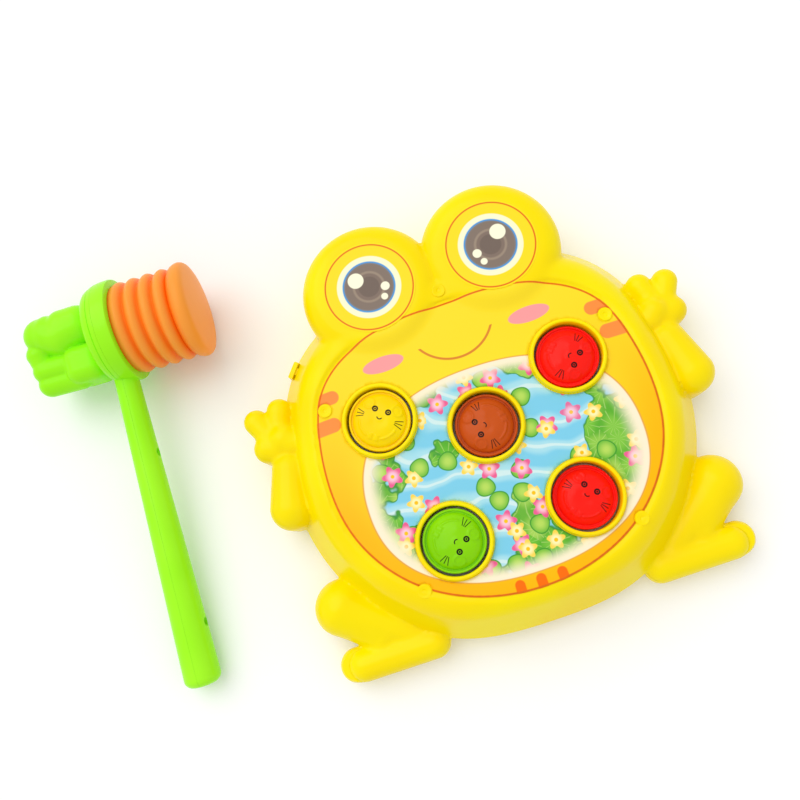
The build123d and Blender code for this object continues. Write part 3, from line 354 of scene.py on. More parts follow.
RECESS_BLEND = 2.0
RECESS_MARGIN = 0.7


def smooth_outline(shares, half_width, reach, count):
    """A closed smooth curve through an outline's points and their mirror image, as count points in order."""
    right = [(x * half_width, y * reach) for x, y in shares]
    left = [(-x, y) for x, y in reversed(right[1:-1])]
    knots = np.array(right + left)
    ahead = np.roll(knots, -1, axis=0) - knots
    length = np.hypot(*ahead.T)
    total = len(knots)
    table_of = np.zeros((total, total))
    wanted = np.zeros((total, 2))
    for i in range(total):
        before, after = length[i - 1], length[i]
        table_of[i, i - 1] = after
        table_of[i, i] = 2 * (before + after)
        table_of[i, (i + 1) % total] = before
        wanted[i] = 3 * (after / before * ahead[i - 1] + before / after * ahead[i])
    slopes = np.linalg.solve(table_of, wanted)
    share_of = np.concatenate([[0], np.cumsum(length)])
    places = np.linspace(0, share_of[-1], count, endpoint=False)
    span = np.clip(np.searchsorted(share_of, places, side="right") - 1, 0, total - 1)
    t = ((places - share_of[span]) / length[span])[:, None]
    size = length[span][:, None]
    start, end = knots[span], knots[(span + 1) % total]
    return (
        start * (2 * t ** 3 - 3 * t ** 2 + 1) + slopes[span] * size * (t ** 3 - 2 * t ** 2 + t)
        + end * (3 * t ** 2 - 2 * t ** 3) + slopes[(span + 1) % total] * size * (t ** 3 - t ** 2)
    )


def distance_to_outline(outline, x, y):
    """How far points lie outside a closed outline; inside it the distance is negative."""
    shape = np.broadcast_shapes(np.shape(x), np.shape(y))
    px, py = (np.broadcast_to(a, shape).ravel() for a in (x, y))
    ax, ay = outline.T
    ex, ey = (np.roll(outline, -1, axis=0) - outline).T
    square = ex * ex + ey * ey
    result = np.empty(len(px))
    chunk = 20000
    for start in range(0, len(px), chunk):
        dx = px[start:start + chunk, None] - ax
        dy = py[start:start + chunk, None] - ay
        along = np.clip((dx * ex + dy * ey) / square, 0, 1)
        away = ((dx - along * ex) ** 2 + (dy - along * ey) ** 2).min(axis=1)
        above = dy > 0
        crossing = (above != (np.roll(dy, -1, axis=1) > 0)) & (
            (dx * ey - dy * ex) * np.where(ey > 0, 1, -1) < 0)
        inside = crossing.sum(axis=1) % 2 == 1
        result[start:start + chunk] = np.where(inside, -1, 1) * np.sqrt(away)
    return result.reshape(shape)


def slab(edge, z, bottom, top, bottom_round, top_round):
    """The distance to an upright slab whose outline is edge away, with round edges above and below."""
    parts = []
    for height, radius in ((z - top, top_round), (bottom - z, bottom_round)):
        out, up = edge + radius, height + radius
        parts.append(np.hypot(np.maximum(out, 0), np.maximum(up, 0)) + np.minimum(np.maximum(out, up), 0) - radius)
    return np.maximum(*parts)


def rod(x, y, z, start, start_radius, end, end_radius):
    """The distance to a tapered rod with round ends."""
    (ax, ay, az), (bx, by, bz) = start, end
    square = (bx - ax) ** 2 + (by - ay) ** 2 + (bz - az) ** 2
    along = np.clip(((x - ax) * (bx - ax) + (y - ay) * (by - ay) + (z - az) * (bz - az)) / square, 0, 1)
    dx, dy, dz = x - ax - along * (bx - ax), y - ay - along * (by - ay), z - az - along * (bz - az)
    return np.sqrt(dx * dx + dy * dy + dz * dz) - start_radius - along * (end_radius - start_radius)


def join(first, second, blend):
    """The smaller of two distances, with a fillet where they meet."""
    near = np.maximum(blend - np.abs(first - second), 0) / blend
    return np.minimum(first, second) - near * near * blend / 4


def cut_away(first, second, blend):
    return -join(-first, second, blend)


body_outline = smooth_outline(BODY_SHARES, BODY_HALF_WIDTH, BODY_REACH, OUTLINE_POINTS)
label_outline = smooth_outline(LABEL_SHARES, LABEL_HALF_WIDTH, LABEL_REACH, OUTLINE_POINTS)


def frog_distance(x, y, z, sole=False, recess=True):
    """The distance to the whole frog's outside."""
    side = np.abs(x)
    lean = FLANK_LEAN * np.maximum(z - PARTING, 0) / (RIM - PARTING)
    form = slab(distance_to_outline(body_outline, x, y) + lean, z, BASE, RIM, BASE_EDGE, BODY_EDGE)
    if recess:
        hollow = np.maximum(distance_to_outline(label_outline, x, y) - RECESS_MARGIN, LABEL_LEVEL - z)
        form = cut_away(form, hollow, RECESS_BLEND)
    eye = slab(np.hypot(side - EYE_PLACE[0], y - EYE_PLACE[1]) - EYE_RADIUS, z, BASE, EYE_TOP, BASE_EDGE, EYE_EDGE)
    form = join(form, eye, EYE_BLEND)
    limbs = []
    upright = np.where(z > HAND_LEVEL, z, np.where(z < LEG_LEVEL, z + HAND_LEVEL - LEG_LEVEL, HAND_LEVEL))
    for rods, height in ((HAND_RODS, upright), (LEG_RODS, z)):
        limb = rod(side, y, height, *rods[0])
        for more in rods[1:]:
            limb = join(limb, rod(side, y, height, *more), ROD_BLEND)
        limbs.append(limb)
    form = join(form, np.minimum(*limbs), LIMB_BLEND)
    if sole:
        form = join(form, rod(side, y, z, *SOLE_ROD), LIMB_BLEND)
    return np.maximum(form, BASE - z)


def net_mesh(field, low, high, grid):
    """The surface where a distance is zero: one point in each grid cell that it crosses, then settled onto it."""
    low, high = np.array(low, float), np.array(high, float)
    counts = np.ceil((high - low) / grid).astype(int) + 1
    lines = [low[a] + grid * np.arange(counts[a]) for a in range(3)]
    values = field(lines[0][:, None, None], lines[1][None, :, None], lines[2][None, None, :])
    cells = tuple(c - 1 for c in counts)
    total, hits = np.zeros(cells + (3,)), np.zeros(cells)
    edges = []
    for axis in range(3):
        first = np.take(values, range(counts[axis] - 1), axis)
        second = np.take(values, range(1, counts[axis]), axis)
        crossing = (first < 0) != (second < 0)
        share = np.where(crossing, first / np.where(crossing, first - second, 1), 0)
        others = [a for a in range(3) if a != axis]
        for shifts in product((0, 1), repeat=2):
            pick = [slice(None)] * 3
            for other, shift in zip(others, shifts):
                pick[other] = slice(shift, shift + cells[other])
            here = crossing[tuple(pick)]
            total[..., axis] += share[tuple(pick)]
            for other, shift in zip(others, shifts):
                total[..., other] += here * shift
            hits += here
        edges.append((crossing, first < 0))
    used = hits > 0
    number = np.full(cells, -1)
    number[used] = np.arange(used.sum())
    points = low + grid * (np.argwhere(used) + total[used] / hits[used][:, None])
    faces = []
    for axis, (crossing, inside) in enumerate(edges):
        b, c = (axis + 1) % 3, (axis + 2) % 3
        at = np.argwhere(crossing)
        at = at[(at[:, b] > 0) & (at[:, b] < cells[b]) & (at[:, c] > 0) & (at[:, c] < cells[c])]
        corners = []
        for db, dc in ((1, 1), (0, 1), (0, 0), (1, 0)):
            cell = at.copy()
            cell[:, b] -= db
            cell[:, c] -= dc
            corners.append(number[tuple(cell.T)])
        quad = np.stack(corners, axis=1)
        outward = inside[tuple(at.T)]
        faces.append(np.where(outward[:, None], quad, quad[:, ::-1]))
    nudge = grid / 20
    for _ in range(2):
        here = field(*points.T)
        slope = np.stack([(field(*(points + nudge * np.eye(3)[a]).T) - here) / nudge for a in range(3)], axis=1)
        move = slope * (here / np.maximum((slope * slope).sum(axis=1), 0.2))[:, None]
        size = np.linalg.norm(move, axis=1, keepdims=True)
        points = points - move * np.minimum(1, grid / np.maximum(size, grid))
    return points, np.concatenate(faces)


def new_piece(name, points, faces, finish, smooth=True):
    """An object from points in millimetres and their faces."""
    mesh = bpy.data.meshes.new(name)
    mesh.from_pydata([tuple(p) for p in np.array(points, float) * MM], [], [tuple(map(int, f)) for f in faces])
    if smooth:
        mesh.polygons.foreach_set("use_smooth", [True] * len(mesh.polygons))
    mesh.materials.append(finish.material)
    piece = bpy.data.objects.new(name, mesh)
    bpy.context.scene.collection.objects.link(piece)
    return piece


def combine(piece, operation, other, solver="MANIFOLD"):
    """Cuts or joins another closed mesh, which is used up."""
    change = piece.modifiers.new("change", "BOOLEAN")
    change.operation = operation
    change.solver = solver
    change.object = other
    graph = bpy.context.evaluated_depsgraph_get()
    made = bpy.data.meshes.new_from_object(piece.evaluated_get(graph))
    piece.modifiers.clear()
    old = piece.data
    piece.data = made
    made.name = piece.name
    bpy.data.meshes.remove(old)
    bpy.data.objects.remove(other)


def box_piece(name, low, high, finish):
    corners = list(product(*zip(low, high)))
    faces = ((0, 1, 3, 2), (4, 6, 7, 5), (0, 4, 5, 1), (2, 3, 7, 6), (0, 2, 6, 4), (1, 5, 7, 3))
    return new_piece(name, corners, faces, finish, smooth=False)


def lathe(profile, sides, centre=(0, 0), closed=True):
    """Points and faces of a ring or a solid turned about Z from a run of (radius, height)."""
    points, faces, rows = [], [], []
    for radius, height in profile:
        if radius == 0:
            rows.append([len(points)] * sides)
            points.append((centre[0], centre[1], height))
        else:
            rows.append(list(range(len(points), len(points) + sides)))
            for side in range(sides):
                angle = 2 * math.pi * side / sides
                points.append((centre[0] + radius * math.cos(angle), centre[1] + radius * math.sin(angle), height))
    pairs = list(zip(rows, rows[1:])) + ([(rows[-1], rows[0])] if closed else [])
    for lower, upper in pairs:
        for side in range(sides):
            after = (side + 1) % sides
            face = [lower[side], lower[after], upper[after], upper[side]]
            kept = [v for i, v in enumerate(face) if v not in face[:i]]
            if len(kept) > 2:
                faces.append(kept)
    return points, faces


def put_together(parts):
    """Several runs of points and faces as one."""
    points, faces = [], []
    for more_points, more_faces in parts:
        start = len(points)
        points += [tuple(p) for p in more_points]
        faces += [[start + v for v in face] for face in more_faces]
    return points, faces


# Top and bottom shell: two hollow yellow mouldings that meet at a parting line and are screwed together.
# The top one has five round collars for the moles and small round marks over the screw posts.
SHELL_GRID = 1.35
INSIDE_GRID = 3.0
COLLAR_BORE = 17.1
COLLAR_RADIUS = 19.1
COLLAR_TOP = 47.6
COLLAR_FOOT = 34.0
COLLAR_SIDES = 96
MARK_PLACES = ((75.5, 33.9), (-75.5, 33.9), (55.5, -67.6), (-55.5, -67.6))
CROWN_MARK = (0, 74.6)
MARK_RADIUS = 3.5
SEAM_GAP = 0.12
FAR = 400.0

yellow = moulded("yellow_shell_plastic", SHELL_YELLOW, SHELL_DEEP)
box_low = (-126.0, -105.0, BASE - 1.5)
box_high = (126.0, 128.0, EYE_TOP + 1.5)
mole_names = ("upper_left", "centre", "upper_right", "lower_left", "lower_right")
mole_places = {}
for mole in mole_names:
    low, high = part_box("mole_cap_" + mole)
    mole_places[mole] = ((low.x + high.x) / 2 / MM, (low.y + high.y) / 2 / MM)


def shell_piece(name, sole, keep_above):
    """One hollow half of the frog, cut at the parting line."""
    outside = new_piece(name, *net_mesh(lambda x, y, z: frog_distance(x, y, z, sole), box_low, box_high, SHELL_GRID), yellow)
    inside = new_piece("inside", *net_mesh(
        lambda x, y, z: np.maximum(frog_distance(x, y, z, sole, recess=False) + WALL, z - LABEL_LEVEL + WALL),
        box_low, box_high, INSIDE_GRID), yellow)
    combine(outside, "DIFFERENCE", inside)
    if keep_above:
        away = box_piece("away", (-FAR, -FAR, -FAR), (FAR, FAR, PARTING + SEAM_GAP), yellow)
    else:
        away = box_piece("away", (-FAR, -FAR, PARTING - SEAM_GAP), (FAR, FAR, FAR), yellow)
    combine(outside, "DIFFERENCE", away)
    return outside


def finish_edges(piece, angle=38):
    """Smooth faces with a crisp edge where two of them meet at more than an angle."""
    mesh = piece.data
    mesh.polygons.foreach_set("use_smooth", [True] * len(mesh.polygons))
    mesh.set_sharp_from_angle(angle=math.radians(angle))
    mesh.update()


top_shell = shell_piece("frog_top_shell", False, True)
collar_profile = [
    (COLLAR_BORE, COLLAR_FOOT), (COLLAR_RADIUS, COLLAR_FOOT), (COLLAR_RADIUS, LABEL_LEVEL - 1),
    (COLLAR_RADIUS + 0.35, LABEL_LEVEL + 0.1), (COLLAR_RADIUS + 0.1, LABEL_LEVEL + 0.6),
]
collar_round = 1.0
for step in range(13):
    angle = math.pi * step / 12
    collar_profile.append((
        (COLLAR_RADIUS + COLLAR_BORE) / 2 + collar_round * math.cos(angle),
        COLLAR_TOP - collar_round + collar_round * math.sin(angle),
    ))
bores = [lathe([(0, COLLAR_FOOT - 3), (COLLAR_BORE + 0.6, COLLAR_FOOT - 3), (COLLAR_BORE + 0.6, COLLAR_TOP + 3),
                (0, COLLAR_TOP + 3)], COLLAR_SIDES, mole_places[mole], closed=False) for mole in mole_names]
combine(top_shell, "DIFFERENCE", new_piece("bores", *put_together(bores), yellow))
collars = [lathe(collar_profile, COLLAR_SIDES, mole_places[mole]) for mole in mole_names]


def mark(place, level):
    """A low round mark with a dimple, left by the screw post under it."""
    profile = [(0, level - 1), (MARK_RADIUS, level - 1), (MARK_RADIUS, level + 0.5), (MARK_RADIUS - 0.25, level + 0.75),
               (MARK_RADIUS - 1.0, level + 0.8), (MARK_RADIUS - 1.5, level + 0.55), (1.2, level + 0.5),
               (0.9, level + 0.15), (0, level + 0.1)]
    return lathe(profile, 40, place, closed=False)


marks = [mark(place, LABEL_LEVEL) for place in MARK_PLACES] + [mark(CROWN_MARK, RIM)]
extra = new_piece("extra", *put_together(collars + marks), yellow)
combine(top_shell, "UNION", extra)
finish_edges(top_shell)
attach(top_shell, "frog")
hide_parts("top_shell")

bottom_shell = shell_piece("frog_bottom_shell", True, False)
door_low, door_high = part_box("battery_door")
DOOR_GAP = 0.3
door_pocket = box_piece(
    "pocket",
    (door_low.x / MM - DOOR_GAP, door_low.y / MM - DOOR_GAP, BASE - 1),
    (door_high.x / MM + DOOR_GAP, door_high.y / MM + DOOR_GAP, door_high.z / MM + DOOR_GAP), yellow,
)
combine(bottom_shell, "DIFFERENCE", door_pocket)
finish_edges(bottom_shell)
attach(bottom_shell, "frog")
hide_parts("bottom_shell")

# Belly print: a thin film that follows the shell's relief inside the label's line, up to the eyes' rings.
# Its art is drawn from the place on the object: a face above, and a pond garden in an oval below.
FILM_GRID = 1.5
FILM_LIFT = 0.22
FILM_DEPTH = 0.3
FILM_INSET = 0.4
RING_RADIUS = 24.6
COLLAR_SEAT = 19.75
OVAL_CENTRE = (1.5, -22.6)
OVAL_HALVES = (71.5, 53.2)
OVAL_POWER = 2.25


def closed_sheet(points, faces, depth):
    """A thin closed sheet from a surface of triangles: a copy below it, and sides along its border."""
    count = len(points)
    seen = {}
    for face in faces:
        for a, b in zip(face, (*face[1:], face[0])):
            seen[(a, b)] = True
    sides = [(b, a, a + count, b + count) for a, b in seen if (b, a) not in seen]
    below = points - np.array([0, 0, depth])
    return np.concatenate([points, below]), (
        [tuple(f) for f in faces] + [tuple(v + count for v in reversed(f)) for f in faces] + sides)


def shell_level(x, y, low, high):
    """The height of the top shell's surface at points, found by halving."""
    bottom, top = np.full(len(x), low), np.full(len(x), high)
    for _ in range(24):
        middle = (bottom + top) / 2
        outside = frog_distance(x, y, middle) > 0
        top, bottom = np.where(outside, middle, top), np.where(outside, bottom, middle)
    return (bottom + top) / 2


def ring_of(centre, radius, count):
    turn = 2 * np.pi * np.arange(count) / count
    return np.stack([centre[0] + radius * np.cos(turn), centre[1] + radius * np.sin(turn)], axis=1)


film_edge = smooth_outline(LABEL_SHARES, LABEL_HALF_WIDTH - FILM_INSET, LABEL_REACH - FILM_INSET, 420)
for side in (-1, 1):
    from_eye = film_edge - np.array([side * EYE_PLACE[0], EYE_PLACE[1]])
    away = np.hypot(*from_eye.T)[:, None]
    film_edge = film_edge + from_eye / away * np.maximum(RING_RADIUS - away, 0)
holes = [(mole_places[mole], COLLAR_SEAT) for mole in mole_names] + [(place, MARK_RADIUS + 0.3) for place in MARK_PLACES]
grid_x, grid_y = np.meshgrid(np.arange(-88, 88, FILM_GRID), np.arange(-86, 72, FILM_GRID * 0.866))
grid_x = grid_x + (np.arange(len(grid_x)) % 2)[:, None] * FILM_GRID / 2
field_x, field_y = grid_x.ravel(), grid_y.ravel()
kept = distance_to_outline(film_edge, field_x, field_y) < -FILM_GRID * 0.45
for centre, radius in holes:
    kept &= np.hypot(field_x - centre[0], field_y - centre[1]) > radius + FILM_GRID * 0.45
flat, borders = [film_edge], [len(film_edge)]
for centre, radius in holes:
    flat.append(ring_of(centre, radius, 72))
    borders.append(72)
edges, start = [], 0
for count in borders:
    edges += [(start + i, start + (i + 1) % count) for i in range(count)]
    start += count
flat.append(np.stack([field_x[kept], field_y[kept]], axis=1))
flat = np.concatenate(flat)
made = geometry.delaunay_2d_cdt([Vector(p) for p in flat], edges, [], 0, 1e-6)
film_points = np.array([tuple(p) for p in made[0]])
film_faces = np.array(made[2])
middles = film_points[film_faces].mean(axis=1)
inside = distance_to_outline(film_edge, *middles.T) < 0
for centre, radius in holes:
    inside &= np.hypot(middles[:, 0] - centre[0], middles[:, 1] - centre[1]) > radius
film_faces = film_faces[inside]
film_level = shell_level(*film_points.T, 40.0, 48.0) + FILM_LIFT
film_points = np.column_stack([film_points, film_level])
edge_line = smooth_outline(LABEL_SHARES, LABEL_HALF_WIDTH - FILM_INSET, LABEL_REACH - FILM_INSET, 420)
from_edge = -distance_to_outline(edge_line, film_points[:, 0], film_points[:, 1])

film = Finish("belly_print_art")
x, y, point = film.millimetres()
edge = film.make("ShaderNodeAttribute", {"attribute_name": "from_edge"}, out=2)


def within(distance, half, soft=0.25):
    """1 where a distance is below half and 0 outside it, with a soft border."""
    return 1.0 - distance.finish.step(distance, half - soft, half + soft)


def stroke(finish, x, y, start, end):
    """The distance to a straight stroke with round ends."""
    ex, ey = end[0] - start[0], end[1] - start[1]
    dx, dy = x - start[0], y - start[1]
    along = ((dx * ex + dy * ey) / (ex * ex + ey * ey) | 0.0) & 1.0
    across_x, across_y = dx - along * ex, dy - along * ey
    return finish.math_root(across_x * across_x + across_y * across_y)


shade = film.step(edge, 34.0, 2.0) * film.step(y, 62.0, -40.0)
art = film.blend(shade, paint(255, 226, 40), paint(255, 188, 6))
face_side = abs(x)
for centre_y, inner, outer, half in ((39.7, 70.0, 90.0, 3.5), (25.5, 73.4, 92.0, 3.8)):
    stripe = stroke(film, face_side, y, (inner, centre_y + (inner - 76) * 0.06), (outer, centre_y - 0.8))
    art = film.blend(within(stripe, half), art, paint(255, 146, 66))
for place in (-11.1, 0.0, 11.1):
    tab = stroke(film, x, y, (place, -92.0), (place * 0.96, -79.2))
    art = film.blend(within(tab, 2.5), art, paint(255, 112, 8))
cheek_x, cheek_y = (face_side - 39.5) / 11.0, (y - 47.3) / 4.1
art = film.blend(within(film.math_root(cheek_x * cheek_x + cheek_y * cheek_y), 1.0, 0.04), art, paint(255, 160, 160))
smile = abs(film.distance(x, y, (0, 60.25)) - 22.65)
below_ends = film.step(y, 48.9, 48.3)
art = film.blend(within(smile, 0.6, 0.2) * below_ends, art, paint(224, 134, 44))

# The picture in the oval: a cream shore, bushes round a stream, round leaves and five-petalled flowers.
oval_x, oval_y = abs(x - OVAL_CENTRE[0]) / OVAL_HALVES[0], abs(y - OVAL_CENTRE[1]) / OVAL_HALVES[1]
reach = (oval_x ** OVAL_POWER + oval_y ** OVAL_POWER) ** (1 / OVAL_POWER)
shore = (1.0 - reach) * 58.0
wander = film.noise(point, 24.0, 2.0)
ripple = film.make("ShaderNodeMath", {"operation": "SINE"}, (y * 0.42 + x * 0.11) + wander * 14.0)
picture = film.blend(film.step(ripple, -0.5, 0.9), paint(128, 208, 236), paint(172, 226, 238))
picture = film.blend(film.step(ripple, 0.86, 0.98) * 0.7, picture, paint(226, 244, 240))


def scattered(finish, x, y, size, shift, randomness=0.75):
    """Cells of a size with one motif in each: the place from the motif's middle, and two random numbers."""
    place = finish.make("ShaderNodeCombineXYZ", {}, (x + shift[0]) / size, (y + shift[1]) / size)
    cell = finish.make("ShaderNodeTexVoronoi", {"voronoi_dimensions": "2D"}, out="Position",
                       Vector=place, Scale=1.0, Randomness=randomness)
    middle = finish.make("ShaderNodeSeparateXYZ", {}, cell)
    chance = finish.make("ShaderNodeSeparateColor", {}, cell.other("Color"))
    return (x + shift[0]) - middle * size, (y + shift[1]) - middle.other(1) * size, chance, chance.other(1)


def petals(finish, dx, dy, turn, count, depth):
    """The distance from a flower's middle, made longer between its petals."""
    angle = finish.make("ShaderNodeMath", {"operation": "ARCTAN2"}, dy, dx)
    wave = finish.make("ShaderNodeMath", {"operation": "COSINE"}, angle * count + turn * 6.28)
    radius = finish.math_root(dx * dx + dy * dy)
    return radius / (1.0 + wave * depth), radius


bush = film.noise(point, 34.0, 3.0) + (film.step(shore, 22.0, 4.0) * 0.13) + film.step(x, 8.0, 46.0) * 0.13
leaf_x, leaf_y, leaf_chance, leaf_other = scattered(film, x, y, 11.5, (300.0, 310.0))
leaf_edge, leaf_radius = petals(film, leaf_x, leaf_y, leaf_other, 3.0, 0.16)
green = film.blend(leaf_chance, paint(104, 192, 52), paint(184, 220, 100))
green = film.blend(film.step(leaf_edge, 2.0, 7.4) * 0.8, green, paint(84, 172, 46))
picture = film.blend(film.step(bush, 0.585, 0.60), picture, paint(64, 150, 60))
picture = film.blend(film.step(bush, 0.60, 0.615), picture, green)
veins = film.make("ShaderNodeMath", {"operation": "COSINE"}, film.make(
    "ShaderNodeMath", {"operation": "ARCTAN2"}, leaf_y, leaf_x) * 11.0)
picture = film.blend(film.step(veins, 0.8, 1.0) * film.step(bush, 0.60, 0.615) * 0.35, picture, paint(214, 236, 150))
pad_x, pad_y, pad_chance, pad_other = scattered(film, x, y, 15.5, (420.0, 435.0))
pad_edge, pad_radius = petals(film, pad_x, pad_y, pad_other, 3.0, 0.05)
pad_green = film.blend(film.step(pad_radius, 0.5, 5.2), paint(186, 222, 96), paint(112, 190, 62))
pad_mask = within(pad_edge, 4.6, 0.3) * film.step(pad_chance, 0.40, 0.41)
picture = film.blend(pad_mask, picture, pad_green)
picture = film.blend(within(abs(pad_edge - 4.6), 0.3, 0.2) * film.step(pad_chance, 0.40, 0.41), picture, paint(70, 156, 52))
for size, shift, low, high, radius, heart, rim_tint in (
    (16.5, (510.0, 545.0), 0.58, 0.59, 4.5, paint(255, 206, 224), paint(240, 96, 150)),
    (14.0, (655.0, 690.0), 0.66, 0.67, 3.9, paint(255, 250, 190), paint(255, 218, 84)),
):
    dx, dy, chance, other = scattered(film, x, y, size, shift)
    flower, middle = petals(film, dx, dy, other, 5.0, 0.24)
    there = film.step(chance, low, high)
    tint = film.blend(film.step(middle, 1.0, radius), heart, rim_tint)
    picture = film.blend(within(flower, radius, 0.25) * there, picture, tint)
    picture = film.blend(within(middle, 1.0, 0.25) * there, picture, paint(255, 196, 20))
picture = film.blend(film.step(shore, 9.5, 1.5), picture, paint(255, 242, 210))
art = film.blend(film.step(shore, -0.2, 0.2), art, picture)
art = film.blend(within(abs(shore - 0.0), 0.32, 0.3), art, paint(236, 170, 60))
art = film.blend(within(abs(edge - 0.65), 0.45, 0.2), art, LINE_ORANGE)
film.surface(art, 0.26)

belly_film = new_piece("belly_print_film", *closed_sheet(film_points, film_faces, FILM_DEPTH), film)
layer = belly_film.data.attributes.new("from_edge", "FLOAT", "POINT")
layer.data.foreach_set("value", np.tile(from_edge, 2).astype(np.float32))
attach(belly_film, "frog")
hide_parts("face_label")

# Eyes: a printed disc on each dome, with a ring, a cream white, a blue-edged iris and three lights.
eye_finishes = {}
for side, name in ((-1, "eye_label_left"), (1, "eye_label_right")):
    low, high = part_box(name)
    centre = ((low.x + high.x) / 2 / MM, (low.y + high.y) / 2 / MM)
    eye = Finish(name + "_art")
    ex, ey, point = eye.millimetres()
    around = eye.distance(ex, ey, centre)
    tone = paint(255, 232, 20)
    for radius, colour, soft in (
        (23.6, LINE_ORANGE, 0.2), (22.8, paint(255, 226, 34), 0.2), (17.0, paint(255, 250, 210), 0.25),
        (14.0, paint(70, 156, 226), 0.3), (13.2, paint(132, 128, 128), 0.4), (12.6, paint(134, 118, 106), 0.4),
        (8.6, paint(158, 140, 122), 0.5), (7.4, paint(132, 114, 102), 0.5), (5.6, paint(118, 102, 92), 0.4),
    ):
        tone = eye.blend(within(around, radius, soft), tone, colour)
    for dx, dy, radius in ((5.7, 5.4, 4.2), (-8.2, -2.4, 2.35), (-6.2, -7.7, 1.8)):
        light = eye.distance(ex, ey, (centre[0] + side * dx, centre[1] + dy))
        tone = eye.blend(within(light, radius, 0.25), tone, paint(255, 252, 222))
    eye.surface(tone, 0.25)
    eye_finishes[name] = eye

# Mole caps: a rim, a dark groove and a flat dome with a moulded and printed mole's face on it.
# The face's own right and up, in millimetres, are kept on the mesh for the printed marks.
CAP_RADIUS = 15.8
CAP_DOME = 13.7
CAP_RISE = 3.6
CAP_SIDES = 144
CAP_ROWS = 52
CAP_TURNS = {"upper_left": 36.0, "centre": -97.4, "upper_right": 134.7, "lower_left": 137.0, "lower_right": 49.4}
CAP_PAINTS = {
    "upper_left": (paint(255, 226, 0), paint(255, 214, 0)),
    "centre": (paint(202, 84, 24), paint(190, 74, 18)),
    "upper_right": (paint(255, 30, 18), paint(255, 22, 12)),
    "lower_left": (paint(146, 224, 10), paint(134, 214, 4)),
    "lower_right": (paint(255, 30, 18), paint(255, 22, 12)),
}


def moulded_face(fx, fy):
    """The height of the face's relief: ears, belly line, teeth, nose and brows."""
    def ridge(distance, width):
        return np.exp(-(distance / width) ** 2)

    side = np.abs(fx)
    radius = np.hypot(fx, fy)
    ear = np.hypot(side - 7.6, fy - 6.8)
    angle = np.degrees(np.arctan2(side, -fy))
    belly = ridge(radius - 10.0, 0.55) * (1 / (1 + np.exp(-(angle - 20) * 0.7))) * (1 / (1 + np.exp((angle - 74) * 0.7)))
    tooth = 1 / (1 + np.exp((np.maximum(np.abs(side - 1.7) - 1.1, np.abs(fy + 9.3) - 1.5)) * 7))
    nose = ridge(np.hypot(fx, (fy - 0.4) * 1.2), 1.5)
    cheek = ridge(np.hypot(side - 5.4, fy + 1.6), 2.6)
    return 0.6 * ridge(ear - 2.7, 0.6) + 0.3 * ridge(ear, 2.0) + 0.6 * belly + 0.55 * tooth + 0.7 * nose + 0.4 * cheek


for mole in mole_names:
    low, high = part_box("mole_cap_" + mole)
    top, foot = high.z / MM - 0.25, low.z / MM
    rim = high.z / MM - CAP_RISE
    centre = mole_places[mole]
    profile = [(0, rim - 2.6), (14.2, rim - 2.6), (14.2, foot), (15.7, foot), (CAP_RADIUS, foot + 0.2), (CAP_RADIUS, rim - 0.5)]
    profile += [(CAP_RADIUS - 0.12, rim - 0.16), (CAP_RADIUS - 0.42, rim), (14.9, rim), (14.68, rim - 0.12), (14.6, rim - 0.4),
                (14.55, rim - 1.15), (13.85, rim - 1.15), (13.75, rim - 0.6)]
    smooth_rows = len(profile)
    for row in range(CAP_ROWS):
        radius = CAP_DOME * (1 - row / (CAP_ROWS - 1)) ** 0.85
        lift = (1 - (radius / CAP_DOME) ** 3.0) ** 0.75
        profile.append((radius, rim - 0.45 + (top - rim + 0.45) * lift))
    points, faces = lathe(profile, CAP_SIDES, centre, closed=False)
    points = np.array(points)
    turn = math.radians(CAP_TURNS[mole])
    dx, dy = points[:, 0] - centre[0], points[:, 1] - centre[1]
    fx = dx * math.cos(turn) - dy * math.sin(turn)
    fy = dx * math.sin(turn) + dy * math.cos(turn)
    on_dome = (np.hypot(dx, dy) < CAP_DOME - 0.1) & (points[:, 2] > rim - 0.5)
    fade = np.clip((CAP_DOME - 0.6 - np.hypot(dx, dy)) / 1.2, 0, 1)
    points[:, 2] += np.where(on_dome, moulded_face(fx, fy) * fade, 0)
    points[:, 2] = np.minimum(points[:, 2], high.z / MM)
    colour, deeper = CAP_PAINTS[mole]
    cap_finish = Finish("mole_" + mole + "_plastic")
    face = cap_finish.make("ShaderNodeAttribute", {"attribute_name": "face"}, out=1)
    u = cap_finish.make("ShaderNodeSeparateXYZ", {}, face)
    v = u.other(1)
    point = cap_finish.millimetres()[2]
    clouds = cap_finish.noise(point, 30.0)
    tone = cap_finish.blend(cap_finish.step(clouds, 0.35, 0.65), colour, deeper)
    beside = abs(u)
    eye_ring = cap_finish.distance(beside, v, (3.5, 4.75))
    ink = within(abs(eye_ring - 1.15), 0.42, 0.12) | within(eye_ring, 0.5, 0.12)
    mouth = abs(cap_finish.distance(u, v, (0.0, 1.5)) - 1.3)
    ink = ink | within(mouth, 0.28, 0.12) * cap_finish.step(v, 1.3, 0.9)
    for slope in (-0.35, 0.0, 0.35):
        whisker = stroke(cap_finish, beside, v, (8.3, 0.6 + slope * 2.2), (12.0, 0.6 + slope * 5.8))
        ink = ink | within(whisker, 0.2, 0.12)
    tone = cap_finish.blend(ink, tone, paint(20, 10, 6))
    cap_finish.surface(tone, clouds * 0.06 + 0.2, cap_finish.noise(point, 60.0, 1.0), 0.00004)
    cap = new_piece("mole_" + mole, points, faces, cap_finish)
    finish_edges(cap, 50)
    layer = cap.data.attributes.new("face", "FLOAT_VECTOR", "POINT")
    layer.data.foreach_set("vector", np.column_stack([fx, fy, np.zeros(len(fx))]).astype(np.float32).ravel())
    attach(cap, "mole_" + mole)
    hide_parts("mole_cap_" + mole)

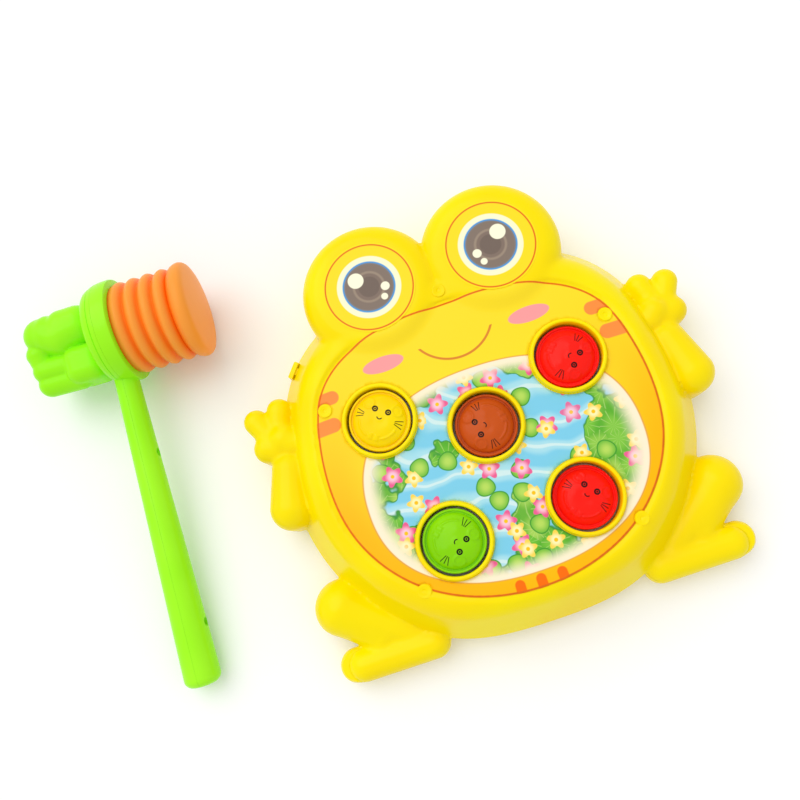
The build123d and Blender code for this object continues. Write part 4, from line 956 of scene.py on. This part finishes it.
# Hammer: its own frame has the head's axis along X and the handle towards -Y, and lies on the table
# with the handle's end down. The fist is modelled in that frame and cut in two at its parting line.
HAMMER_PLACE = (-176.8, 119.0, 29.0)
hammer_frame = Matrix.Translation(HAMMER_PLACE) @ Matrix.Rotation(math.radians(-2.5), 4, "Z") @ Matrix.Rotation(
    math.radians(5.80), 4, "X")
FIST_GRID = 0.9
FIST_SEAM = -6.0
green_plastic = moulded("green_hammer_plastic", paint(168, 254, 40), paint(158, 250, 28), 0.2)


def laid(points):
    """Points of the hammer's own frame as it lies on the table."""
    turn = np.array(hammer_frame)
    return np.array(points, float) @ turn[:3, :3].T + turn[:3, 3]


def block_distance(x, y, z, low, high, edge):
    """The distance to a block with round edges."""
    parts = [np.maximum(low[a] + edge - p, p - high[a] + edge) for a, p in enumerate((x, y, z))]
    out = np.sqrt(sum(np.maximum(p, 0) ** 2 for p in parts))
    return out + np.minimum(np.maximum(np.maximum(parts[0], parts[1]), parts[2]), 0) - edge


def fist_distance(x, y, z):
    """The fist: a palm block, a long thumb over it, the first knuckle, two finger rows and the heel of the hand."""
    form = block_distance(x, y, z, (-48.5, -22.0, -17.0), (-6.0, 17.0, 3.5), 6.0)
    thumb = join(rod(x, y, z, (-38.6, 9.0, 4.0), 10.0, (-35.0, 8.4, 4.5), 11.0),
                 block_distance(x, y, z, (-34.0, -1.5, -8.0), (-7.5, 19.6, 15.5), 9.0), 1.2)
    thumb = join(thumb, rod(x, y, z, (-28.0, 4.6, 5.6), 10.2, (-17.0, 8.0, 6.0), 9.6), 3.0)
    knuckle = rod(x, y, z, (-42.6, -1.0, 3.6), 7.4, (-42.2, -4.4, 3.6), 6.6)
    first_row = rod(x, y, z, (-41.5, -10.4, 3.4), 7.0, (-24.0, -10.8, 3.4), 7.0)
    second_row = rod(x, y, z, (-41.0, -18.0, 1.4), 7.0, (-24.0, -18.6, 1.4), 7.0)
    heel = block_distance(x, y, z, (-29.0, -23.6, -14.0), (-7.0, -2.5, 13.2), 7.0)
    for part, blend in ((second_row, 0.8), (first_row, 0.8), (knuckle, 0.8), (heel, 0.8), (thumb, 1.0)):
        form = join(form, part, blend)
    return np.maximum(form, x + 8.0)


fist_points, fist_faces = net_mesh(fist_distance, (-56, -26, -21), (-5, 27, 20), FIST_GRID)
for name, keep_upper, node in (("fist_upper_half", True, "fist_upper"), ("fist_lower_half", False, "fist_lower")):
    half = new_piece(name, fist_points, fist_faces, green_plastic)
    if keep_upper:
        away = box_piece("away", (-FAR, -FAR, -FAR), (FAR, FAR, FIST_SEAM + 0.1), green_plastic)
    else:
        away = box_piece("away", (-FAR, -FAR, FIST_SEAM - 0.1), (FAR, FAR, FAR), green_plastic)
    combine(half, "DIFFERENCE", away)
    corners = np.array([v.co for v in half.data.vertices]) / MM
    half.data.vertices.foreach_set("co", (laid(corners) * MM).astype(np.float32).ravel())
    half.data.update()
    finish_edges(half)
    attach(half, "hammer")
    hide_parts(node)

# Handle and ring: one turned form of two bands with a round handle, cut into a front and a back half.
# The front half has the two screw holes.
RING_PROFILE = (
    (-8.0, 0.0), (-8.0, 23.6), (-7.5, 25.0), (-6.2, 26.3), (-4.6, 27.1), (-3.2, 27.5), (-2.9, 27.1), (-2.6, 27.9),
    (-0.5, 28.5), (2.5, 28.9), (6.6, 29.0), (7.6, 28.7), (8.0, 28.0), (8.0, 0.0),
)
HANDLE_NECK = 6.6
HANDLE_END = 10.0
HANDLE_REACH = 198.0
HANDLE_ROUND = 5.0
SCREW_SHARES = (0.36, 0.84)
SCREW_HOLE = 2.4
RING_SIDES = 160


def turned(profile, sides, order):
    """Points and faces turned about X or Y: order says which of (across, beside, along) is X, Y and Z."""
    points, faces = lathe([(radius, place) for place, radius in profile], sides, closed=False)
    return np.array(points)[:, order], faces


ring_points, ring_faces = turned(RING_PROFILE, RING_SIDES, [2, 0, 1])
handle_profile = [(15.0, 0.0), (15.0, HANDLE_NECK)]
for step in range(19):
    share = step / 18
    place = 15.0 + (HANDLE_REACH - HANDLE_ROUND - 15.0) * share
    handle_profile.append((place, HANDLE_NECK + (HANDLE_END - HANDLE_NECK) * max(place - 30.0, 0) / 168.0))
for step in range(1, 9):
    angle = math.pi / 2 * step / 8
    handle_profile.append((HANDLE_REACH - HANDLE_ROUND + HANDLE_ROUND * math.sin(angle),
                           HANDLE_END - HANDLE_ROUND * (1 - math.cos(angle))))
handle_profile.append((HANDLE_REACH, 0.0))
handle_points, handle_faces = turned(handle_profile, 96, [0, 2, 1])
handle_points = handle_points * np.array([1, -1, 1])
hole_parts = []
for share in SCREW_SHARES:
    hole_points, hole_faces = turned([(HANDLE_NECK * 0.75, 0.0), (HANDLE_NECK * 0.75, SCREW_HOLE), (16.0, SCREW_HOLE), (16.0, 0.0)],
                                     32, [2, 0, 1])
    hole_parts.append((hole_points + np.array([0, -HANDLE_REACH * share, 0]), hole_faces))
for name, front, node in (("hammer_front_half", True, "hammer_handle_front"), ("hammer_back_half", False, "hammer_handle_back")):
    half = new_piece(name, ring_points, ring_faces, green_plastic)
    combine(half, "UNION", new_piece("rod", handle_points, handle_faces, green_plastic))
    if front:
        combine(half, "DIFFERENCE", new_piece("holes", *put_together(hole_parts), green_plastic))
        away = box_piece("away", (-FAR, -FAR, -FAR), (0.04, FAR, FAR), green_plastic)
    else:
        away = box_piece("away", (-0.04, -FAR, -FAR), (FAR, FAR, FAR), green_plastic)
    combine(half, "DIFFERENCE", away)
    corners = np.array([v.co for v in half.data.vertices]) / MM
    half.data.vertices.foreach_set("co", (laid(corners) * MM).astype(np.float32).ravel())
    half.data.update()
    finish_edges(half, 30)
    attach(half, "hammer")
    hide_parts(node)

# Bellows: four lens-like ribs of translucent orange vinyl, and the thick striking disc at their end.
# The disc moves with its own body.
BELLOWS_START = 8.0
BELLOWS_RADIUS = 26.0
RIB_DEPTH = 2.9
RIB_PITCH = 8.2
RIB_COUNT = 4
RIB_ROWS = 14
vinyl = Finish("orange_vinyl", Subsurface_Weight=0.06, Subsurface_Scale=0.004)
vinyl_point = vinyl.millimetres()[2]
# The vinyl's colour holds painted light and shade: lighter on the ribs' crests and the striking disc, darker down in
# the grooves between the ribs.
crest = vinyl.make("ShaderNodeAttribute", {"attribute_name": "crest"}, out=2)
mist = vinyl.noise(vinyl_point, 40.0)
vinyl_painted_light_and_shade = vinyl.blend(vinyl.step(crest, 0.0, 1.0), paint(255, 116, 4), paint(255, 160, 62))
vinyl.surface(vinyl_painted_light_and_shade, mist * 0.1 + 0.3, vinyl.noise(vinyl_point, 300.0), 0.00002)


def turned_about_x(name, profile, painted_crest_lights, sides, finish):
    """A closed piece turned about the hammer head's axis from a run of (place, radius), laid on the table, with each
    row's share of painted crest light kept on its points.
    """
    points, faces = lathe([(radius, place) for place, radius in profile], sides, closed=False)
    points = np.array(points)[:, [2, 0, 1]]
    piece = new_piece(name, laid(points), faces, finish)
    values = []
    for (place, radius), value in zip(profile, painted_crest_lights):
        values += [value] * (1 if radius == 0 else sides)
    layer = piece.data.attributes.new("crest", "FLOAT", "POINT")
    layer.data.foreach_set("value", np.array(values, np.float32))
    return piece


# Each row's share of painted crest light: 1 on a rib's crest, painted lighter, and 0 in a groove, painted in shade.
ribs = [(BELLOWS_START, 0.0), (BELLOWS_START, BELLOWS_RADIUS - 1.2)]
painted_crest_lights = [0.0, 0.0]
for rib in range(RIB_COUNT):
    for row in range(RIB_ROWS):
        share = (row + 0.5) / RIB_ROWS
        if rib == 0 and share < 0.3:
            continue
        bulge = 1 - abs(2 * share - 1) ** 1.7
        ribs.append((7.4 + RIB_PITCH * (rib + share), BELLOWS_RADIUS - RIB_DEPTH + RIB_DEPTH * bulge))
        painted_crest_lights.append(bulge)
bellows_end = 7.4 + RIB_PITCH * RIB_COUNT
ribs += [(bellows_end, BELLOWS_RADIUS - RIB_DEPTH), (bellows_end, 0.0)]
painted_crest_lights += [0.0, 0.0]
bellows = turned_about_x("bellows_ribs", ribs, painted_crest_lights, 112, vinyl)
finish_edges(bellows, 60)
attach(bellows, "hammer")
head_axis = (hammer_frame.to_3x3() @ Vector((1, 0, 0)))
ring_end = hammer_frame @ Vector((BELLOWS_START, 0, 0)) * MM
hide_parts("bellows")
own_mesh(bellows)

disc_start = bellows_end + 0.05
disc = [(disc_start, 0.0), (disc_start, 23.4), (disc_start + 1.0, 24.8), (disc_start + 2.6, 26.0), (disc_start + 4.4, 26.7),
        (disc_start + 6.2, 26.9), (disc_start + 7.8, 26.4), (disc_start + 8.9, 25.4), (disc_start + 9.5, 24.0), (disc_start + 9.8, 22.0)]
# The striking disc is painted in the lighter, lit tone of the vinyl, darker only at its back.
disc_painted_crest_lights = [0.0, 0.0, 0.3, 0.6, 0.9, 1.0, 1.0, 1.0, 1.0, 1.0]
for row in range(1, 9):
    radius = 22.0 * (1 - row / 8)
    disc.append((disc_start + 11.05 - 1.25 * (radius / 22.0) ** 2, radius))
    disc_painted_crest_lights.append(1.0)
striking_face = turned_about_x("bellows_striking_face", disc, disc_painted_crest_lights, 112, vinyl)
finish_edges(striking_face, 60)
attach(striking_face, "hammer_face")
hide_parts("bellows_face")

# Remaining nodes: the moulded, turned and pressed parts inside, each in its own plain material.
plain_finishes = {
    "belly_print": moulded("belly_print_film", FILM_YELLOW, FILM_ORANGE),
    "eye_print": moulded("eye_print_film", FILM_YELLOW, FILM_ORANGE),
    "steel": moulded("plated_steel", paint(190, 192, 196), paint(170, 172, 176), 0.3, Metallic=1.0),
    "brass": moulded("turned_brass", paint(205, 170, 95), paint(190, 150, 80), 0.3, Metallic=1.0),
    "rubber_feet": moulded("black_rubber", paint(38, 38, 38), paint(48, 48, 48), 0.75),
    "cell_jacket": moulded("cell_sleeve", paint(60, 64, 70), paint(52, 56, 62), 0.35),
    "guide_plastic": moulded("cream_plastic", paint(236, 234, 224), paint(228, 226, 214), 0.45),
    "gear_plastic": moulded("white_acetal", paint(240, 240, 236), paint(230, 230, 226), 0.4),
    "cam_plastic": moulded("grey_acetal", paint(214, 218, 224), paint(204, 208, 214), 0.4),
    "mole_stem": moulded("stem_acetal", paint(238, 238, 230), paint(228, 228, 220), 0.4),
    "board": moulded("brown_board", paint(176, 140, 84), paint(164, 128, 74), 0.5),
    "components": moulded("black_epoxy", paint(30, 30, 32), paint(40, 40, 42), 0.35),
    "speaker": moulded("black_steel", paint(66, 66, 70), paint(56, 56, 60), 0.4),
    "switch_body": moulded("black_nylon", paint(34, 34, 36), paint(42, 42, 44), 0.5),
    "squeaker": moulded("white_reed_holder", paint(238, 238, 238), paint(228, 228, 228), 0.4),
    "yellow_shell": yellow,
    "hammer_green": green_plastic,
    "bellows_orange": vinyl,
    "mole_yellow": yellow,
    "mole_brown": yellow,
    "mole_red": yellow,
    "mole_green": yellow,
    **eye_finishes,
}
for row in frame["record"]["subparts"]:
    node = frame["nodes"][row["node"]]
    node.data.materials.clear()
    finish = plain_finishes.get(row["node"], plain_finishes[row["material_slot"]])
    node.data.materials.append(finish.material)

# Return springs: a wire coil on each mole's stem.
# Geometry Nodes sweep the wire along a spiral; each spring gives its own place and height.
SPRING_WIRE = 0.4
SPRING_TURNS = 6.0
SPRING_STEPS = 28
WIRE_SIDES = 10

coil_tree = bpy.data.node_groups.new("coil", "GeometryNodeTree")
for name in ("Place", "Coil Radius", "Wire Radius", "Height", "Turns"):
    coil_tree.interface.new_socket(
        name, in_out="INPUT", socket_type="NodeSocketVector" if name == "Place" else "NodeSocketFloat")
coil_tree.interface.new_socket("Geometry", in_out="OUTPUT", socket_type="NodeSocketGeometry")


def coil_node(kind, links, **fixed):
    """One node of the coil's tree: links say which output feeds which of its inputs."""
    node = coil_tree.nodes.new(kind)
    for socket, source in links.items():
        coil_tree.links.new(source, node.inputs[socket])
    for socket, setting in fixed.items():
        node.inputs[socket.replace("_", " ")].default_value = setting
    return node


given = coil_tree.nodes.new("NodeGroupInput").outputs
spiral = coil_node("GeometryNodeCurveSpiral", {
    "Rotations": given["Turns"], "Start Radius": given["Coil Radius"], "End Radius": given["Coil Radius"],
    "Height": given["Height"]}, Resolution=SPRING_STEPS)
section = coil_node("GeometryNodeCurvePrimitiveCircle", {"Radius": given["Wire Radius"]}, Resolution=WIRE_SIDES)
swept = coil_node("GeometryNodeCurveToMesh", {"Curve": spiral.outputs["Curve"], "Profile Curve": section.outputs["Curve"]},
                  Fill_Caps=True)
moved = coil_node("GeometryNodeTransform", {"Geometry": swept.outputs["Mesh"], "Translation": given["Place"]})
real = coil_node("GeometryNodeRealizeInstances", {"Geometry": moved.outputs["Geometry"]})
plated = coil_node("GeometryNodeSetMaterial", {"Geometry": real.outputs["Geometry"]},
                   Material=plain_finishes["steel"].material)
coil_node("NodeGroupOutput", {"Geometry": plated.outputs["Geometry"]})
coil_inputs = {item.name: item.identifier for item in coil_tree.interface.items_tree if item.in_out == "INPUT"}

for mole in mole_names:
    low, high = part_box("mole_spring_" + mole)
    centre = (low + high) / 2
    spring = new_piece("return_spring_" + mole, [], [], plain_finishes["steel"])
    coil = spring.modifiers.new("coil", "NODES")
    coil.node_group = coil_tree
    for name, setting in (
        ("Place", (centre.x, centre.y, low.z + SPRING_WIRE * MM)),
        ("Coil Radius", (high.x - low.x) / 2 - SPRING_WIRE * MM), ("Wire Radius", SPRING_WIRE * MM),
        ("Height", high.z - low.z - 2 * SPRING_WIRE * MM), ("Turns", SPRING_TURNS),
    ):
        coil[coil_inputs[name]] = setting
    made = bpy.data.meshes.new_from_object(spring.evaluated_get(bpy.context.evaluated_depsgraph_get()))
    spring.modifiers.clear()
    spring.data = made
    made.name = spring.name
    finish_edges(spring, 60)
    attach(spring, "frog")
    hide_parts("mole_spring_" + mole)
    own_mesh(spring)
